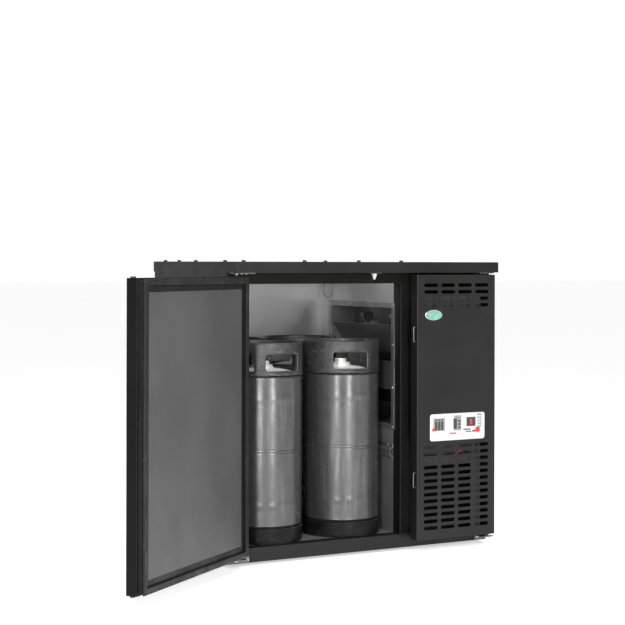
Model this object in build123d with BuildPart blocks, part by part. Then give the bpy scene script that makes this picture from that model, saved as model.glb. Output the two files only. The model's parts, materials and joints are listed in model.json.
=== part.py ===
from build123d import *
import math
import os

os.makedirs("parts", exist_ok=True)

# Back-bar keg cooler: a keg room with one insulated door on the left, a machine bay behind a hinged
# louvred panel on the right, and a thick worktop over both.
# X runs right along the front, Y runs back, Z runs up, in millimetres.
# The origin is on the floor, at the centre of the front left levelling foot's pad.

# ---------------------------------------------------------------- driving dimensions
worktop_width = 916
worktop_depth = 580
worktop_thickness = 32
total_height = 880
base_bottom = 9                 # the low feet leave this gap over the floor
base_top = 51                   # top of the sill and of the keg room's floor
foot_inset = (85, 150)          # foot centre from the worktop's left and front edges
left, front = -foot_inset[0], -foot_inset[1]

body_left, body_right = 3, 907  # measured from the worktop's left edge
body_front, body_back = 55, 577  # measured from the worktop's front edge
body_top = total_height - worktop_thickness
sheet = 1.2                     # painted steel sheet

room_left, room_right = 50, 588
room_back = 541
room_top = 846
doorway_top = 815
frame_back, trim_back = 67, 93
mullion_right = 628
partition_right = 622

door_width, door_height = 604, 800
door_bottom = 38
door_left, door_front = 2, 1.5
door_pin = (9, 15)              # pin axis from the closed door's outer left corner
door_open_angle = 143
pan_depth, neck_depth, gasket_crest = 33, 43, 53
pin_radius, bush_bore, bush_radius = 4.0, 4.05, 7.0

panel_left, panel_right = 615, 904
panel_bottom, panel_top = 35, 841
panel_front, panel_depth = 1.5, 35
panel_pin = (893, 16.5)

slot_length, slot_height = 51, 11
slot_pitch_x, slot_pitch_z = 62.5, 20.5
slot_columns, top_rows, bottom_rows = 4, 4, 13

evap_y = (87, 488)              # flange of the evaporator frame
evap_z = (365, 755)
evap_band = 16
evap_fan_y = (210, 386)
evap_fan_z = 665.5
evap_fan_radius = 52
fan_plate_x = 677
housing_back_x = 716

condenser_centre = (760, 172)   # x from the left edge, z
condenser_fan_radius = 84

keg_radius = 118
keg_height = 591
keg_floor = base_top + 0.3
keg_places = {
    "front_left": (184, 184),
    "front_right": (453, 184),
    "rear_left": (184, 421),
    "rear_right": (440, 421),
}


def across(a, b):
    """A pair of x values, from distances measured from the worktop's left edge."""
    return (left + a, left + b)


def deep(a, b):
    """A pair of y values, from distances measured from the worktop's front edge."""
    return (front + a, front + b)


def spot(a, b, z=0.0):
    """A point, from distances to the worktop's left and front edges and a height."""
    return (left + a, front + b, z)


def block(x, y, z, mode=Mode.ADD):
    """Add or cut a box between pairs of x, y and z in the part being built."""
    with Locations((x[0], y[0], z[0])):
        Box(x[1] - x[0], y[1] - y[0], z[1] - z[0], align=(Align.MIN,) * 3, mode=mode)


def post(place, radius, z, mode=Mode.ADD):
    """Add or cut an upright cylinder between two heights in the part being built."""
    with Locations((place[0], place[1], z[0])):
        Cylinder(radius, z[1] - z[0], align=(Align.CENTER, Align.CENTER, Align.MIN), mode=mode)


def drum(place, radius, x, mode=Mode.ADD):
    """Add or cut a cylinder that lies along X between two x values."""
    with Locations(Location((x[0], place[1], place[2]), (0, 90, 0))):
        Cylinder(radius, x[1] - x[0], align=(Align.CENTER, Align.CENTER, Align.MIN), mode=mode)


def barrel(place, radius, y, mode=Mode.ADD):
    """Add or cut a cylinder that lies along Y between two y values."""
    with Locations(Location((place[0], y[0], place[2]), (-90, 0, 0))):
        Cylinder(radius, y[1] - y[0], align=(Align.CENTER, Align.CENTER, Align.MIN), mode=mode)


pieces = {}

# ---------------------------------------------------------------- base and levelling feet
foot_right, foot_rear = 825, 500
foot_places = {
    "front_left": spot(foot_inset[0], foot_inset[1]),
    "front_right": spot(foot_right, foot_inset[1]),
    "rear_left": spot(foot_inset[0], foot_rear),
    "rear_right": spot(foot_right, foot_rear),
}
stud_radius, stud_bore, stud_top = 5.0, 5.05, 42
pad_radius, pad_height = 20, 5

with BuildPart() as base_tray:
    block(across(body_left, body_right), deep(body_front, body_back), (base_bottom, base_top))
    front_edges = base_tray.edges().filter_by(Axis.X).group_by(Axis.Y)[0]
    fillet(front_edges, 1.5)
    block(across(5, 905), deep(57, 575), (11, base_top), Mode.SUBTRACT)
    block(across(5, partition_right), deep(57, trim_back), (49, base_top))
    for place in foot_places.values():
        post(place, stud_bore + 5, (11, 20))
        post(place, stud_bore, (base_bottom, 20), Mode.SUBTRACT)
pieces["base_tray"] = base_tray


def levelling_foot(place):
    """A round pad with a hexagon collar and a threaded stud that runs up into the base."""
    with BuildPart() as foot:
        post(place, pad_radius, (0, pad_height))
        chamfer(foot.edges().group_by(Axis.Z)[-1], 1.5)
        with BuildSketch(Plane((place[0], place[1], pad_height))):
            RegularPolygon(9, 6)
        extrude(amount=base_bottom - pad_height - 0.3)
        post(place, stud_radius, (pad_height, stud_top))
    return foot


for corner, place in foot_places.items():
    pieces[f"foot_{corner}"] = levelling_foot(place)

# ---------------------------------------------------------------- cabinet walls
with BuildPart() as left_side_panel:
    block(across(body_left, body_left + sheet), deep(frame_back, body_back - sheet), (base_top, body_top))
pieces["left_side_panel"] = left_side_panel

vent_slot = (60, 8)             # rear and side vents of the machine bay
side_front = 41                 # the bay's side wall reaches forward to just behind the service panel
with BuildPart() as right_side_panel:
    block(across(body_right - sheet, body_right), deep(side_front, body_back - sheet), (base_top, body_top))
    with BuildSketch(Plane.YZ.offset(left + body_right - sheet)):
        with Locations((front + 320, 430)):
            with GridLocations(80, 20, 4, 12):
                SlotOverall(*vent_slot)
    extrude(amount=sheet, mode=Mode.SUBTRACT)
pieces["right_side_panel"] = right_side_panel

with BuildPart() as back_panel:
    block(across(body_left, body_right), deep(body_back - sheet, body_back), (base_top, body_top))
    with BuildSketch(Plane.XZ.offset(-(front + body_back))):
        with Locations((left + 765, 430)):
            with GridLocations(80, 20, 3, 24):
                SlotOverall(*vent_slot)
    extrude(amount=sheet, mode=Mode.SUBTRACT)
pieces["back_panel"] = back_panel

with BuildPart() as front_frame:
    block(across(body_left, mullion_right), deep(body_front, frame_back), (base_top, body_top))
    doorway_x, doorway_z = across(room_left, room_right), (base_top, doorway_top)
    block(doorway_x, deep(body_front, frame_back), doorway_z, Mode.SUBTRACT)
    fillet(front_frame.edges().filter_by(Axis.Z).group_by(Axis.Y)[0], 4)
pieces["front_frame"] = front_frame

with BuildPart() as jamb_trim:
    trim_y = deep(frame_back + 0.2, trim_back - 0.3)
    block(across(4.5, partition_right), trim_y, (base_top + 0.2, body_top - 0.3))
    block(doorway_x, deep(frame_back, trim_back), doorway_z, Mode.SUBTRACT)
pieces["jamb_trim"] = jamb_trim

window_y, window_z = (100, 475), (378, 742)   # evaporator's hole through the partition
foam_y = (trim_back, 574.5)
foam_z = (base_top + 0.3, body_top - 0.5)
with BuildPart() as insulation:
    block(across(6, partition_right), deep(58, 574), (11.5, 48.5))
    for place in foot_places.values():
        post(place, stud_bore + 6, (11.5, 48.5), Mode.SUBTRACT)
    block(across(4.7, room_left - 1.2), deep(*foam_y), foam_z)
    block(across(room_left - 0.8, partition_right), deep(room_back + 1.3, foam_y[1]), foam_z)
    slab_x, slab_y = across(room_right + 1.2, partition_right), deep(foam_y[0], room_back + 0.9)
    block(slab_x, slab_y, (foam_z[0], window_z[0] - 0.4))
    block(slab_x, slab_y, (window_z[1] + 0.4, foam_z[1]))
    block(slab_x, (slab_y[0], front + window_y[0]), window_z)
    block(slab_x, (front + window_y[1], slab_y[1]), window_z)
pieces["insulation"] = insulation

lining, seam = 1.0, 0.2           # room lining: separate sheets with open seams
room_x, room_y, room_z = (room_left, room_right), (trim_back, room_back), (base_top, room_top)
with BuildPart() as inner_liner:
    full_x, full_y = across(room_x[0] - lining, room_x[1] + lining), deep(room_y[0], room_y[1] + lining)
    block(full_x, full_y, (room_z[0] - lining, room_z[0]))
    block(full_x, full_y, (room_z[1], room_z[1] + lining))
    wall_z = (room_z[0] + seam, room_z[1] - seam)
    block(full_x, deep(room_y[1], room_y[1] + lining), wall_z)
    side_y = deep(room_y[0], room_y[1] - seam)
    block(across(room_x[0] - lining, room_x[0]), side_y, wall_z)
    right_x = across(room_x[1], room_x[1] + lining)
    block(right_x, side_y, (wall_z[0], window_z[0]))
    block(right_x, side_y, (window_z[1], wall_z[1]))
    block(right_x, (side_y[0], front + window_y[0]), (window_z[0] + seam, window_z[1] - seam))
    block(right_x, (front + window_y[1], side_y[1]), (window_z[0] + seam, window_z[1] - seam))
pieces["inner_liner"] = inner_liner

# ---------------------------------------------------------------- worktop
plug_radius, plug_bore = 6.0, 6.05
plug_places = [
    (40, 30), (240, 30), (425, 30), (575, 30), (30, 130), (30, 330), (30, 450), (22, 535), (600, 535),
]
catch_place = spot(476, 24)
catch_barrel = 11.0

with BuildPart() as worktop:
    block(across(0, worktop_width), deep(0, worktop_depth), (body_top, total_height))
    fillet(worktop.edges().filter_by(Axis.Z), 2.5)
    fillet(worktop.edges().group_by(Axis.Z)[-1], 1.8)
    inside_x, inside_y = across(1.5, worktop_width - 1.5), deep(1.5, worktop_depth - 1.5)
    block(inside_x, inside_y, (body_top, total_height - 1.5), Mode.SUBTRACT)
    for a, b in plug_places:
        post(spot(a, b), plug_bore, (total_height - 3, total_height + 1), Mode.SUBTRACT)
pieces["worktop"] = worktop

with BuildPart() as worktop_core:
    core_x, core_y = across(1.8, worktop_width - 1.8), deep(1.8, worktop_depth - 1.8)
    block(core_x, core_y, (body_top + 0.3, total_height - 1.8))
    for a, b in plug_places:
        post(spot(a, b), plug_radius + 1, (total_height - 14, total_height), Mode.SUBTRACT)
    post(catch_place, catch_barrel + 0.3, (body_top, body_top + 26), Mode.SUBTRACT)
pieces["worktop_core"] = worktop_core

with BuildPart() as worktop_plugs:
    for a, b in plug_places:
        post(spot(a, b), plug_radius, (total_height - 12, total_height + 5))
    chamfer(worktop_plugs.edges().group_by(Axis.Z)[-1], 2.5)
pieces["worktop_plugs"] = worktop_plugs

# ---------------------------------------------------------------- hinge brackets and pins
pin_x, pin_y = door_left + door_pin[0], door_front + door_pin[1]
bracket_thickness = 3
low_plate = (26, 29)
low_plate_panel = (25, 28)
high_plate = (body_top - bracket_thickness, body_top)


def low_bracket(x_range, flange_range, pin, plate):
    """Zinc plated angle on the base's front: a shelf with a pin hole over a flange with two bolts."""
    block(across(*x_range), deep(6, body_front), plate)
    post(spot(*pin), 8, plate)
    block(across(*flange_range), deep(body_front - bracket_thickness, body_front), (12, plate[1]))
    post(spot(*pin), pin_radius + 0.05, (plate[0] - 1, plate[1] + 1), Mode.SUBTRACT)


def high_bracket(x_range, pin):
    """Plate under the worktop that carries an upper hinge pin."""
    block(across(*x_range), deep(6, 50), high_plate)
    post(spot(*pin), 8, high_plate)
    post(spot(*pin), pin_radius + 0.05, (high_plate[0] - 1, high_plate[1] + 1), Mode.SUBTRACT)


with BuildPart() as door_hinge_brackets:
    low_bracket((5, 44), (5, 72), (pin_x, pin_y), low_plate)
    high_bracket((5, 66), (pin_x, pin_y))
pieces["door_hinge_brackets"] = door_hinge_brackets

with BuildPart() as panel_hinge_brackets:
    low_bracket((862, 902), (862, 902), panel_pin, low_plate_panel)
    high_bracket((850, 902), panel_pin)
pieces["panel_hinge_brackets"] = panel_hinge_brackets

with BuildPart() as hinge_pins:
    post(spot(pin_x, pin_y), pin_radius, (low_plate[0] - 3, door_bottom + 16))
    post(spot(pin_x, pin_y), pin_radius, (door_bottom + door_height - 16, body_top))
    post(spot(*panel_pin), pin_radius, (low_plate_panel[0] - 3, panel_bottom + 8))
    post(spot(*panel_pin), pin_radius, (panel_top - 8, body_top))
pieces["hinge_pins"] = hinge_pins

# ---------------------------------------------------------------- door, drawn on a plane that turns with it
# Local x runs along the door's width from the pin, local y from its outer face inwards.
turn = math.radians(-door_open_angle)
door_plane = Plane(origin=spot(pin_x, pin_y), x_dir=(math.cos(turn), math.sin(turn), 0), z_dir=(0, 0, 1))
door_inward = Axis(door_plane.origin, door_plane.y_dir)
door_top = door_bottom + door_height
outer_x = (-door_pin[0], door_width - door_pin[0])
outer_y = -door_pin[1]
free_bush_x = outer_x[1] - door_pin[0]
pan_back = outer_y + pan_depth
neck_back = outer_y + neck_depth
crest = outer_y + gasket_crest
skin = 1.2
catch_pocket = (left + 476 - (left + pin_x), 24 - pin_y)
catch_pocket_radius, catch_pocket_floor = 11, door_top - 13


def inset(distance):
    """The door's outline drawn in by a distance, as pairs of x and z."""
    return (outer_x[0] + distance, outer_x[1] - distance), (door_bottom + distance, door_top - distance)


def door_slab(distance, y, mode=Mode.ADD):
    """A slab of the door between two depths, with its outline drawn in by a distance."""
    x, z = inset(distance)
    block(x, y, z, mode)


def door_pockets(radius):
    """Cut the four bush holes in the door's ends."""
    for x in (0, free_bush_x):
        post((x, 0), radius, (door_bottom - 1, door_bottom + 22), Mode.SUBTRACT)
        post((x, 0), radius, (door_top - 22, door_top + 1), Mode.SUBTRACT)


with BuildPart(door_plane) as door_skin:
    door_slab(0, (outer_y, pan_back))
    fillet(door_skin.edges().filter_by(Axis.Z), 3)
    fillet(door_skin.edges().group_by(door_inward)[0], 0.8)
    door_slab(skin, (outer_y + skin, pan_back), Mode.SUBTRACT)
    door_pockets(bush_radius + 0.05)
    post(catch_pocket, catch_pocket_radius, (catch_pocket_floor, door_top + 1), Mode.SUBTRACT)
pieces["door_skin"] = door_skin

with BuildPart(door_plane) as door_foam:
    door_slab(skin + 0.2, (outer_y + skin + 0.2, pan_back - 3))
    door_slab(40, (pan_back - 3, neck_back - 1))
    door_pockets(bush_radius + 0.05)
    post(catch_pocket, catch_pocket_radius, (catch_pocket_floor, door_top + 1), Mode.SUBTRACT)
pieces["door_foam"] = door_foam

with BuildPart(door_plane) as door_breaker:
    door_slab(skin + 0.2, (pan_back - 2.8, pan_back - 0.4))
    door_slab(5, (pan_back - 0.4, neck_back))
    door_slab(39, (pan_back - 3, neck_back), Mode.SUBTRACT)
    door_slab(21, (neck_back, neck_back + 2))
    door_slab(36, (neck_back, neck_back + 2), Mode.SUBTRACT)
pieces["door_breaker"] = door_breaker

with BuildPart(door_plane) as door_gasket:
    door_slab(2, (neck_back + 0.1, crest))
    door_slab(20, (neck_back + 0.1, crest), Mode.SUBTRACT)
    fillet(door_gasket.edges().group_by(door_inward)[-1], 4)
pieces["door_gasket"] = door_gasket

with BuildPart(door_plane) as door_liner:
    door_slab(36.2, (neck_back, neck_back + 1.5))
pieces["door_liner"] = door_liner

with BuildPart(door_plane) as door_bushes:
    post((0, 0), bush_radius, (door_bottom - 4, door_bottom + 21))
    post((0, 0), bush_radius, (door_top - 21, door_top + 4))
    post((0, 0), bush_bore, (door_bottom - 5, door_bottom + 19), Mode.SUBTRACT)
    post((0, 0), bush_bore, (door_top - 19, door_top + 5), Mode.SUBTRACT)
    post((free_bush_x, 0), bush_radius, (door_bottom - 4, door_bottom + 21))
    post((free_bush_x, 0), bush_radius, (door_top - 21, door_top + 4))
pieces["door_bushes"] = door_bushes

# ---------------------------------------------------------------- door catch
plunger_radius, plunger_bore = 9.0, 9.08
with BuildPart() as catch_housing:
    x, y, _ = catch_place
    block((x - 18, x + 18), (y - 14, y + 14), high_plate)
    post(catch_place, catch_barrel, (high_plate[0], body_top + 25))
    post(catch_place, plunger_bore, (high_plate[0] - 1, body_top + 23), Mode.SUBTRACT)
pieces["catch_housing"] = catch_housing

with BuildPart() as catch_plunger:
    post(catch_place, plunger_radius, (high_plate[0], body_top + 6))
    with BuildSketch(Plane((catch_place[0], catch_place[1], high_plate[0]))):
        Circle(plunger_radius)
    with BuildSketch(Plane((catch_place[0], catch_place[1], high_plate[0] - 18))):
        Circle(3)
    loft()
    fillet(catch_plunger.edges().group_by(Axis.Z)[0], 2)
pieces["catch_plunger"] = catch_plunger

# ---------------------------------------------------------------- service panel
panel_y = (panel_front, panel_front + panel_depth)
with BuildPart() as service_panel:
    block(across(panel_left, panel_right), deep(*panel_y), (panel_bottom, panel_top))
    fillet(service_panel.edges().filter_by(Axis.Z).group_by(Axis.Y)[0], 2.5)
    block(
        across(panel_left + sheet, panel_right - sheet),
        deep(panel_front + sheet, panel_y[1]),
        (panel_bottom + sheet, panel_top - sheet),
        Mode.SUBTRACT,
    )
    first_x = left + panel_left + 25 + slot_length / 2
    slot_centre_x = first_x + slot_pitch_x * (slot_columns - 1) / 2
    top_centre_z = panel_top - 31.5 - slot_pitch_z * (top_rows - 1) / 2
    bottom_centre_z = panel_bottom + 35 + slot_pitch_z * (bottom_rows - 1) / 2
    with BuildSketch(Plane.XZ.offset(-(front + panel_front + sheet))):
        with Locations((slot_centre_x, top_centre_z)):
            with GridLocations(slot_pitch_x, slot_pitch_z, slot_columns, top_rows):
                SlotOverall(slot_length, slot_height)
        with Locations((slot_centre_x, bottom_centre_z)):
            with GridLocations(slot_pitch_x, slot_pitch_z, slot_columns, bottom_rows):
                SlotOverall(slot_length, slot_height)
    extrude(amount=sheet + 1, mode=Mode.SUBTRACT)
    post(spot(*panel_pin), bush_bore, (panel_bottom - 1, panel_top + 1), Mode.SUBTRACT)
pieces["service_panel"] = service_panel

badge_place = (674.5, 718.5)
badge_size = (31, 15.75)        # half axes
with BuildPart() as badge:
    with BuildSketch(Plane.XZ.offset(-(front + panel_front))):
        with Locations((left + badge_place[0], badge_place[1])):
            Ellipse(*badge_size)
    extrude(amount=1.4)
    fillet(badge.edges().group_by(Axis.Y)[0], 1.2)
pieces["badge"] = badge

label_x, label_z = (662, 864), (334, 416)
with BuildPart() as control_label:
    with BuildSketch(Plane.XZ.offset(-(front + panel_front))):
        with Locations((left + sum(label_x) / 2, sum(label_z) / 2)):
            RectangleRounded(label_x[1] - label_x[0], label_z[1] - label_z[0], 8)
    extrude(amount=0.8)
pieces["control_label"] = control_label

catch_loop_height, catch_loop_reach, catch_wire = 45, 6, 2.0
with BuildPart() as panel_catches:
    for z in (218, 660):
        ends = [spot(panel_left, 12, z + side * catch_loop_height / 2) for side in (-1, 1)]
        corners = [spot(panel_left - catch_loop_reach, 12, p[2]) for p in ends]
        with BuildLine() as loop_path:
            FilletPolyline(ends[0], corners[0], corners[1], ends[1], radius=4)
        with BuildSketch(Plane(origin=ends[0], z_dir=(-1, 0, 0))):
            Circle(catch_wire)
        sweep(path=loop_path.line)
pieces["panel_catches"] = panel_catches

# ---------------------------------------------------------------- evaporator unit in the partition
opening_y = (evap_y[0] + evap_band, evap_y[1] - evap_band)
opening_z = (evap_z[0] + evap_band, evap_z[1] - evap_band)
wall = 1.5
with BuildPart() as evaporator_frame:
    block(across(room_right - 2.5, room_right), deep(*evap_y), evap_z)
    block(across(room_right - 3, room_right), deep(*opening_y), opening_z, Mode.SUBTRACT)
pieces["evaporator_frame"] = evaporator_frame

with BuildPart() as evaporator_housing:
    outer_yz = (opening_y[0] - wall, opening_y[1] + wall), (opening_z[0] - wall, opening_z[1] + wall)
    panel_x = across(room_right + 0.3, housing_back_x - wall - seam)
    block(across(housing_back_x - wall, housing_back_x), deep(*outer_yz[0]), outer_yz[1])
    block(panel_x, deep(*outer_yz[0]), (outer_yz[1][0], opening_z[0]))
    block(panel_x, deep(*outer_yz[0]), (opening_z[1], outer_yz[1][1]))
    end_z = (opening_z[0] + seam, opening_z[1] - seam)
    block(panel_x, deep(outer_yz[0][0], opening_y[0]), end_z)
    block(panel_x, deep(opening_y[1], outer_yz[0][1]), end_z)
pieces["evaporator_housing"] = evaporator_housing

with BuildPart() as fan_plate:
    block(across(fan_plate_x, fan_plate_x + wall), deep(*opening_y), (594, opening_z[1]))
    for fan_y in evap_fan_y:
        drum(spot(0, fan_y, evap_fan_z), 55, across(fan_plate_x - 1, fan_plate_x + 3), Mode.SUBTRACT)
pieces["fan_plate"] = fan_plate

guard_wire = 2.4
with BuildPart() as fan_guards:
    with BuildSketch(Plane.YZ.offset(left + fan_plate_x - guard_wire)):
        for fan_y in evap_fan_y:
            with Locations((front + fan_y, evap_fan_z)):
                for ring_radius in (54, 44, 34, 24, 14):
                    Circle(ring_radius + guard_wire / 2)
                    Circle(ring_radius - guard_wire / 2, mode=Mode.SUBTRACT)
                Rectangle(128, guard_wire, rotation=45)
                Rectangle(128, guard_wire, rotation=135)
    extrude(amount=guard_wire)
pieces["fan_guards"] = fan_guards

frame_x = (fan_plate_x + wall, fan_plate_x + wall + 26)
with BuildPart() as fan_frames:
    for fan_y in evap_fan_y:
        centre = spot(0, fan_y, evap_fan_z)
        half = 59
        block(across(*frame_x), deep(fan_y - half, fan_y + half), (evap_fan_z - half, evap_fan_z + half))
        drum(centre, 55, across(*frame_x), Mode.SUBTRACT)
        drum(centre, 22, across(frame_x[1] - 5, frame_x[1]))
        strut_x = across(frame_x[1] - 3, frame_x[1])
        block(strut_x, deep(fan_y - 3, fan_y + 3), (evap_fan_z - 57, evap_fan_z + 57))
        block(strut_x, deep(fan_y - 57, fan_y + 57), (evap_fan_z - 3, evap_fan_z + 3))
        drum(centre, 3, across(frame_x[0] + 4, frame_x[1] - 4))
pieces["fan_frames"] = fan_frames


def axial_rotor(plane, radius, hub_radius, depth, blades, bore):
    """A hub with pitched blades round the plane's normal, behind the plane's origin."""
    with BuildPart(plane) as rotor:
        Cylinder(hub_radius, depth)
        with PolarLocations(0, blades):
            with Locations((0, (hub_radius + radius) / 2 - 1, 0)):
                Box(1.8, radius - hub_radius + 2, depth * 1.25, rotation=(0, 55, 0))
        Cylinder(bore, depth * 2, mode=Mode.SUBTRACT)
    return rotor


for end, fan_y in zip(("front", "rear"), evap_fan_y):
    fan_plane = Plane(origin=spot(frame_x[0] + 11, fan_y, evap_fan_z), x_dir=(0, 1, 0), z_dir=(1, 0, 0))
    pieces[f"evaporator_fan_{end}"] = axial_rotor(fan_plane, evap_fan_radius, 19, 14, 7, 3.05)

baffle_top, baffle_foot = (590, 686), (652, 594.5)
cover_face, cover_z = 604, (486, 570)
with BuildPart() as air_baffles:
    for outline in (
        [baffle_top, baffle_foot, (fan_plate_x - 1, baffle_foot[1])],
        [
            (cover_face + 22, cover_z[1]), (cover_face, cover_z[1]),
            (cover_face, cover_z[0]), (cover_face + 12, cover_z[0]),
        ],
    ):
        with BuildSketch(Plane.XZ.offset(-(front + opening_y[0] + 0.5))):
            with BuildLine():
                bend = Polyline([(left + a, z) for a, z in outline])
                offset(bend, amount=0.6, kind=Kind.INTERSECTION)
            make_face()
        extrude(amount=-(opening_y[1] - opening_y[0] - 1))
pieces["air_baffles"] = air_baffles

coil_x, coil_z = (628, 700), (442, 566)
coil_y = (opening_y[0] + 6, opening_y[1] - 6)
with BuildPart() as evaporator_coil:
    block(across(*coil_x), deep(*coil_y), coil_z)
    fin_pitch, fin_gap = 9, 6
    fins = int((coil_y[1] - coil_y[0] - fin_gap) // fin_pitch)
    for index in range(fins):
        y = coil_y[0] + 4 + index * fin_pitch
        gap_z = (coil_z[0] - 1, coil_z[1] + 1)
        block(across(coil_x[0] - 1, coil_x[0] + 22), deep(y, y + fin_gap), gap_z, Mode.SUBTRACT)
pieces["evaporator_coil"] = evaporator_coil

rail_y, rail_z = (96, 530), (279, 322)
with BuildPart() as bumper_rail:
    with BuildSketch(Plane.XZ.offset(-(front + rail_y[0]))):
        with BuildLine():
            face = left + room_right
            low, high = rail_z
            Polyline(
                (face, high), (face - 1.5, high), (face - 1.5, high - 11), (face - 11, high - 17),
                (face - 11, low + 8), (face - 1.5, low), (face, low), (face, low + 2),
                (face - 9.5, low + 9), (face - 9.5, high - 18), (face, high - 12), close=True,
            )
        make_face()
    extrude(amount=-(rail_y[1] - rail_y[0]))
pieces["bumper_rail"] = bumper_rail

# ---------------------------------------------------------------- machine bay
compressor_place = spot(790, 350)
with BuildPart() as compressor:
    with BuildSketch(Plane((compressor_place[0], compressor_place[1], 24))):
        RectangleRounded(190, 150, 12)
    extrude(amount=3)
    with BuildSketch(Plane((compressor_place[0], compressor_place[1], 27))):
        Ellipse(80, 68)
    extrude(amount=150)
    fillet(compressor.faces().sort_by(Axis.Z)[-1].edges(), 34)
    for side_x in (-80, 80):
        for side_y in (-60, 60):
            post((compressor_place[0] + side_x, compressor_place[1] + side_y), 11, (11, 24))
pieces["compressor"] = compressor

condenser_x, condenser_y, condenser_z = (640, 880), (62, 100), (70, 256)
with BuildPart() as condenser_coil:
    block(across(*condenser_x), deep(*condenser_y), condenser_z)
    fins = int((condenser_x[1] - condenser_x[0] - 8) // 8)
    for index in range(fins):
        x = condenser_x[0] + 6 + index * 8
        block(across(x, x + 5), deep(condenser_y[0] - 1, condenser_y[0] + 14), (76, 250), Mode.SUBTRACT)
    block(across(650, 870), deep(66, 96), (11, 70))
pieces["condenser_coil"] = condenser_coil

fan_centre = spot(condenser_centre[0], 0, condenser_centre[1] - 9)
shroud_y = (100, 130)
with BuildPart() as condenser_shroud:
    block(across(*condenser_x), deep(*shroud_y), condenser_z)
    hollow_x = across(condenser_x[0] + 2, condenser_x[1] - 2)
    block(hollow_x, deep(shroud_y[0], shroud_y[1] - 2), (72, 254), Mode.SUBTRACT)
    barrel(fan_centre, condenser_fan_radius + 5, deep(shroud_y[1] - 3, shroud_y[1] + 1), Mode.SUBTRACT)
pieces["condenser_shroud"] = condenser_shroud

with BuildPart() as condenser_motor:
    barrel(fan_centre, 30, deep(146, 190))
    barrel(fan_centre, 4, deep(118, 146))
    block((fan_centre[0] - 8, fan_centre[0] + 8), deep(175, 181), (11, fan_centre[2]))
    block((fan_centre[0] - 25, fan_centre[0] + 25), deep(160, 200), (11, 14))
pieces["condenser_motor"] = condenser_motor

rotor_plane = Plane(origin=(fan_centre[0], front + 130, fan_centre[2]), x_dir=(1, 0, 0), z_dir=(0, 1, 0))
pieces["condenser_fan"] = axial_rotor(rotor_plane, condenser_fan_radius, 22, 22, 5, 4.05)

drier_place = spot(735, 250)
with BuildPart() as filter_drier:
    post(drier_place, 12, (60, 170))
    fillet(filter_drier.edges(), 5)
    post(drier_place, 4, (52, 178))
pieces["filter_drier"] = filter_drier


def pipe(points, radius, bend):
    """Sweep a round tube along straight runs joined by arcs."""
    with BuildLine() as route:
        FilletPolyline(*points, radius=bend)
    with BuildSketch(Plane(origin=route.line @ 0, z_dir=route.line % 0)) as bore:
        Circle(radius)
    sweep(bore.sketch, path=route.line)


with BuildPart() as refrigerant_pipes:
    capillary = [spot(735, 250, 178), spot(735, 250, 480), spot(housing_back_x + 0.2, 250, 480)]
    discharge = [spot(790, 350, 177.5), spot(790, 350, 272), spot(790, 81, 272), spot(790, 81, 256.3)]
    suction = [
        spot(housing_back_x + 0.3, 400, 520), spot(760, 400, 520), spot(760, 400, 190),
        spot(760, 355, 190), spot(760, 355, 177),
    ]
    pipe(capillary, 2.5, 6)
    pipe(discharge, 4, 10)
    pipe(suction, 5, 10)
pieces["refrigerant_pipes"] = refrigerant_pipes

frame_window_x, frame_window_z = (655, 862), (279, 420)
with BuildPart() as service_frame:
    block(across(640, 878), deep(44, 45.5), (258, 778))
    block(across(frame_window_x[0], frame_window_x[1]), deep(43, 46), frame_window_z, Mode.SUBTRACT)
    block(across(842, 878), deep(44, 45.5), (51, 258))
    block(across(640, 641.5), deep(44, 60), (258, 778))
    block(across(876.5, 878), deep(44, 60), (51, 778))
pieces["service_frame"] = service_frame

control_y = (66, 98)
switch_place = spot(817, control_y[0] + 4, 292)
with BuildPart() as control_box:
    block(across(648, 870), deep(*control_y), (284, 428))
    fillet(control_box.edges().filter_by(Axis.Y), 4)
    block(across(806, 828), deep(control_y[0] - 1, control_y[0] + 16), (281, 303), Mode.SUBTRACT)
    drum(switch_place, 2.05, across(803, 831), Mode.SUBTRACT)
    barrel(spot(700, 0, 372), 3.05, deep(control_y[0] - 1, control_y[0] + 12), Mode.SUBTRACT)
pieces["control_box"] = control_box

with BuildPart() as power_switch:
    with BuildSketch(Plane(origin=switch_place, x_dir=(0, 1, 0), z_dir=(1, 0, 0))):
        with BuildLine():
            Polyline((-9, 8), (-5, 0), (-9, -6), (4, -8), (8, 0), (4, 8), close=True)
        make_face()
    extrude(amount=9, both=True)
    drum(switch_place, 2, across(804, 830))
pieces["power_switch"] = power_switch

knob_place = spot(700, 0, 372)
with BuildPart() as thermostat_knob:
    barrel(knob_place, 3, deep(control_y[0] - 2, control_y[0] + 10))
    barrel(knob_place, 16, deep(control_y[0] - 14, control_y[0] - 0.5))
    chamfer(thermostat_knob.edges().group_by(Axis.Y)[0], 1.5)
    block(
        (knob_place[0] - 1, knob_place[0] + 1), deep(control_y[0] - 15, control_y[0] - 13),
        (knob_place[2] + 3, knob_place[2] + 18), Mode.SUBTRACT,
    )
pieces["thermostat_knob"] = thermostat_knob

with BuildPart() as cable_gland:
    barrel(spot(860, 0, 90), 11, deep(body_back - sheet - 10, body_back - sheet))
pieces["cable_gland"] = cable_gland

# ---------------------------------------------------------------- kegs
steel_radius, neck_radius, steel_wall = 116.3, 106.5, 1.5
steel_inside, neck_inside = steel_radius - steel_wall, neck_radius - steel_wall
ring_top, collar_foot = 97, 545
collar_inner, collar_lip = 107, 118.2
window_height, window_foot = 49, 558
rib_heights = (163, 323, 476)


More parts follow.
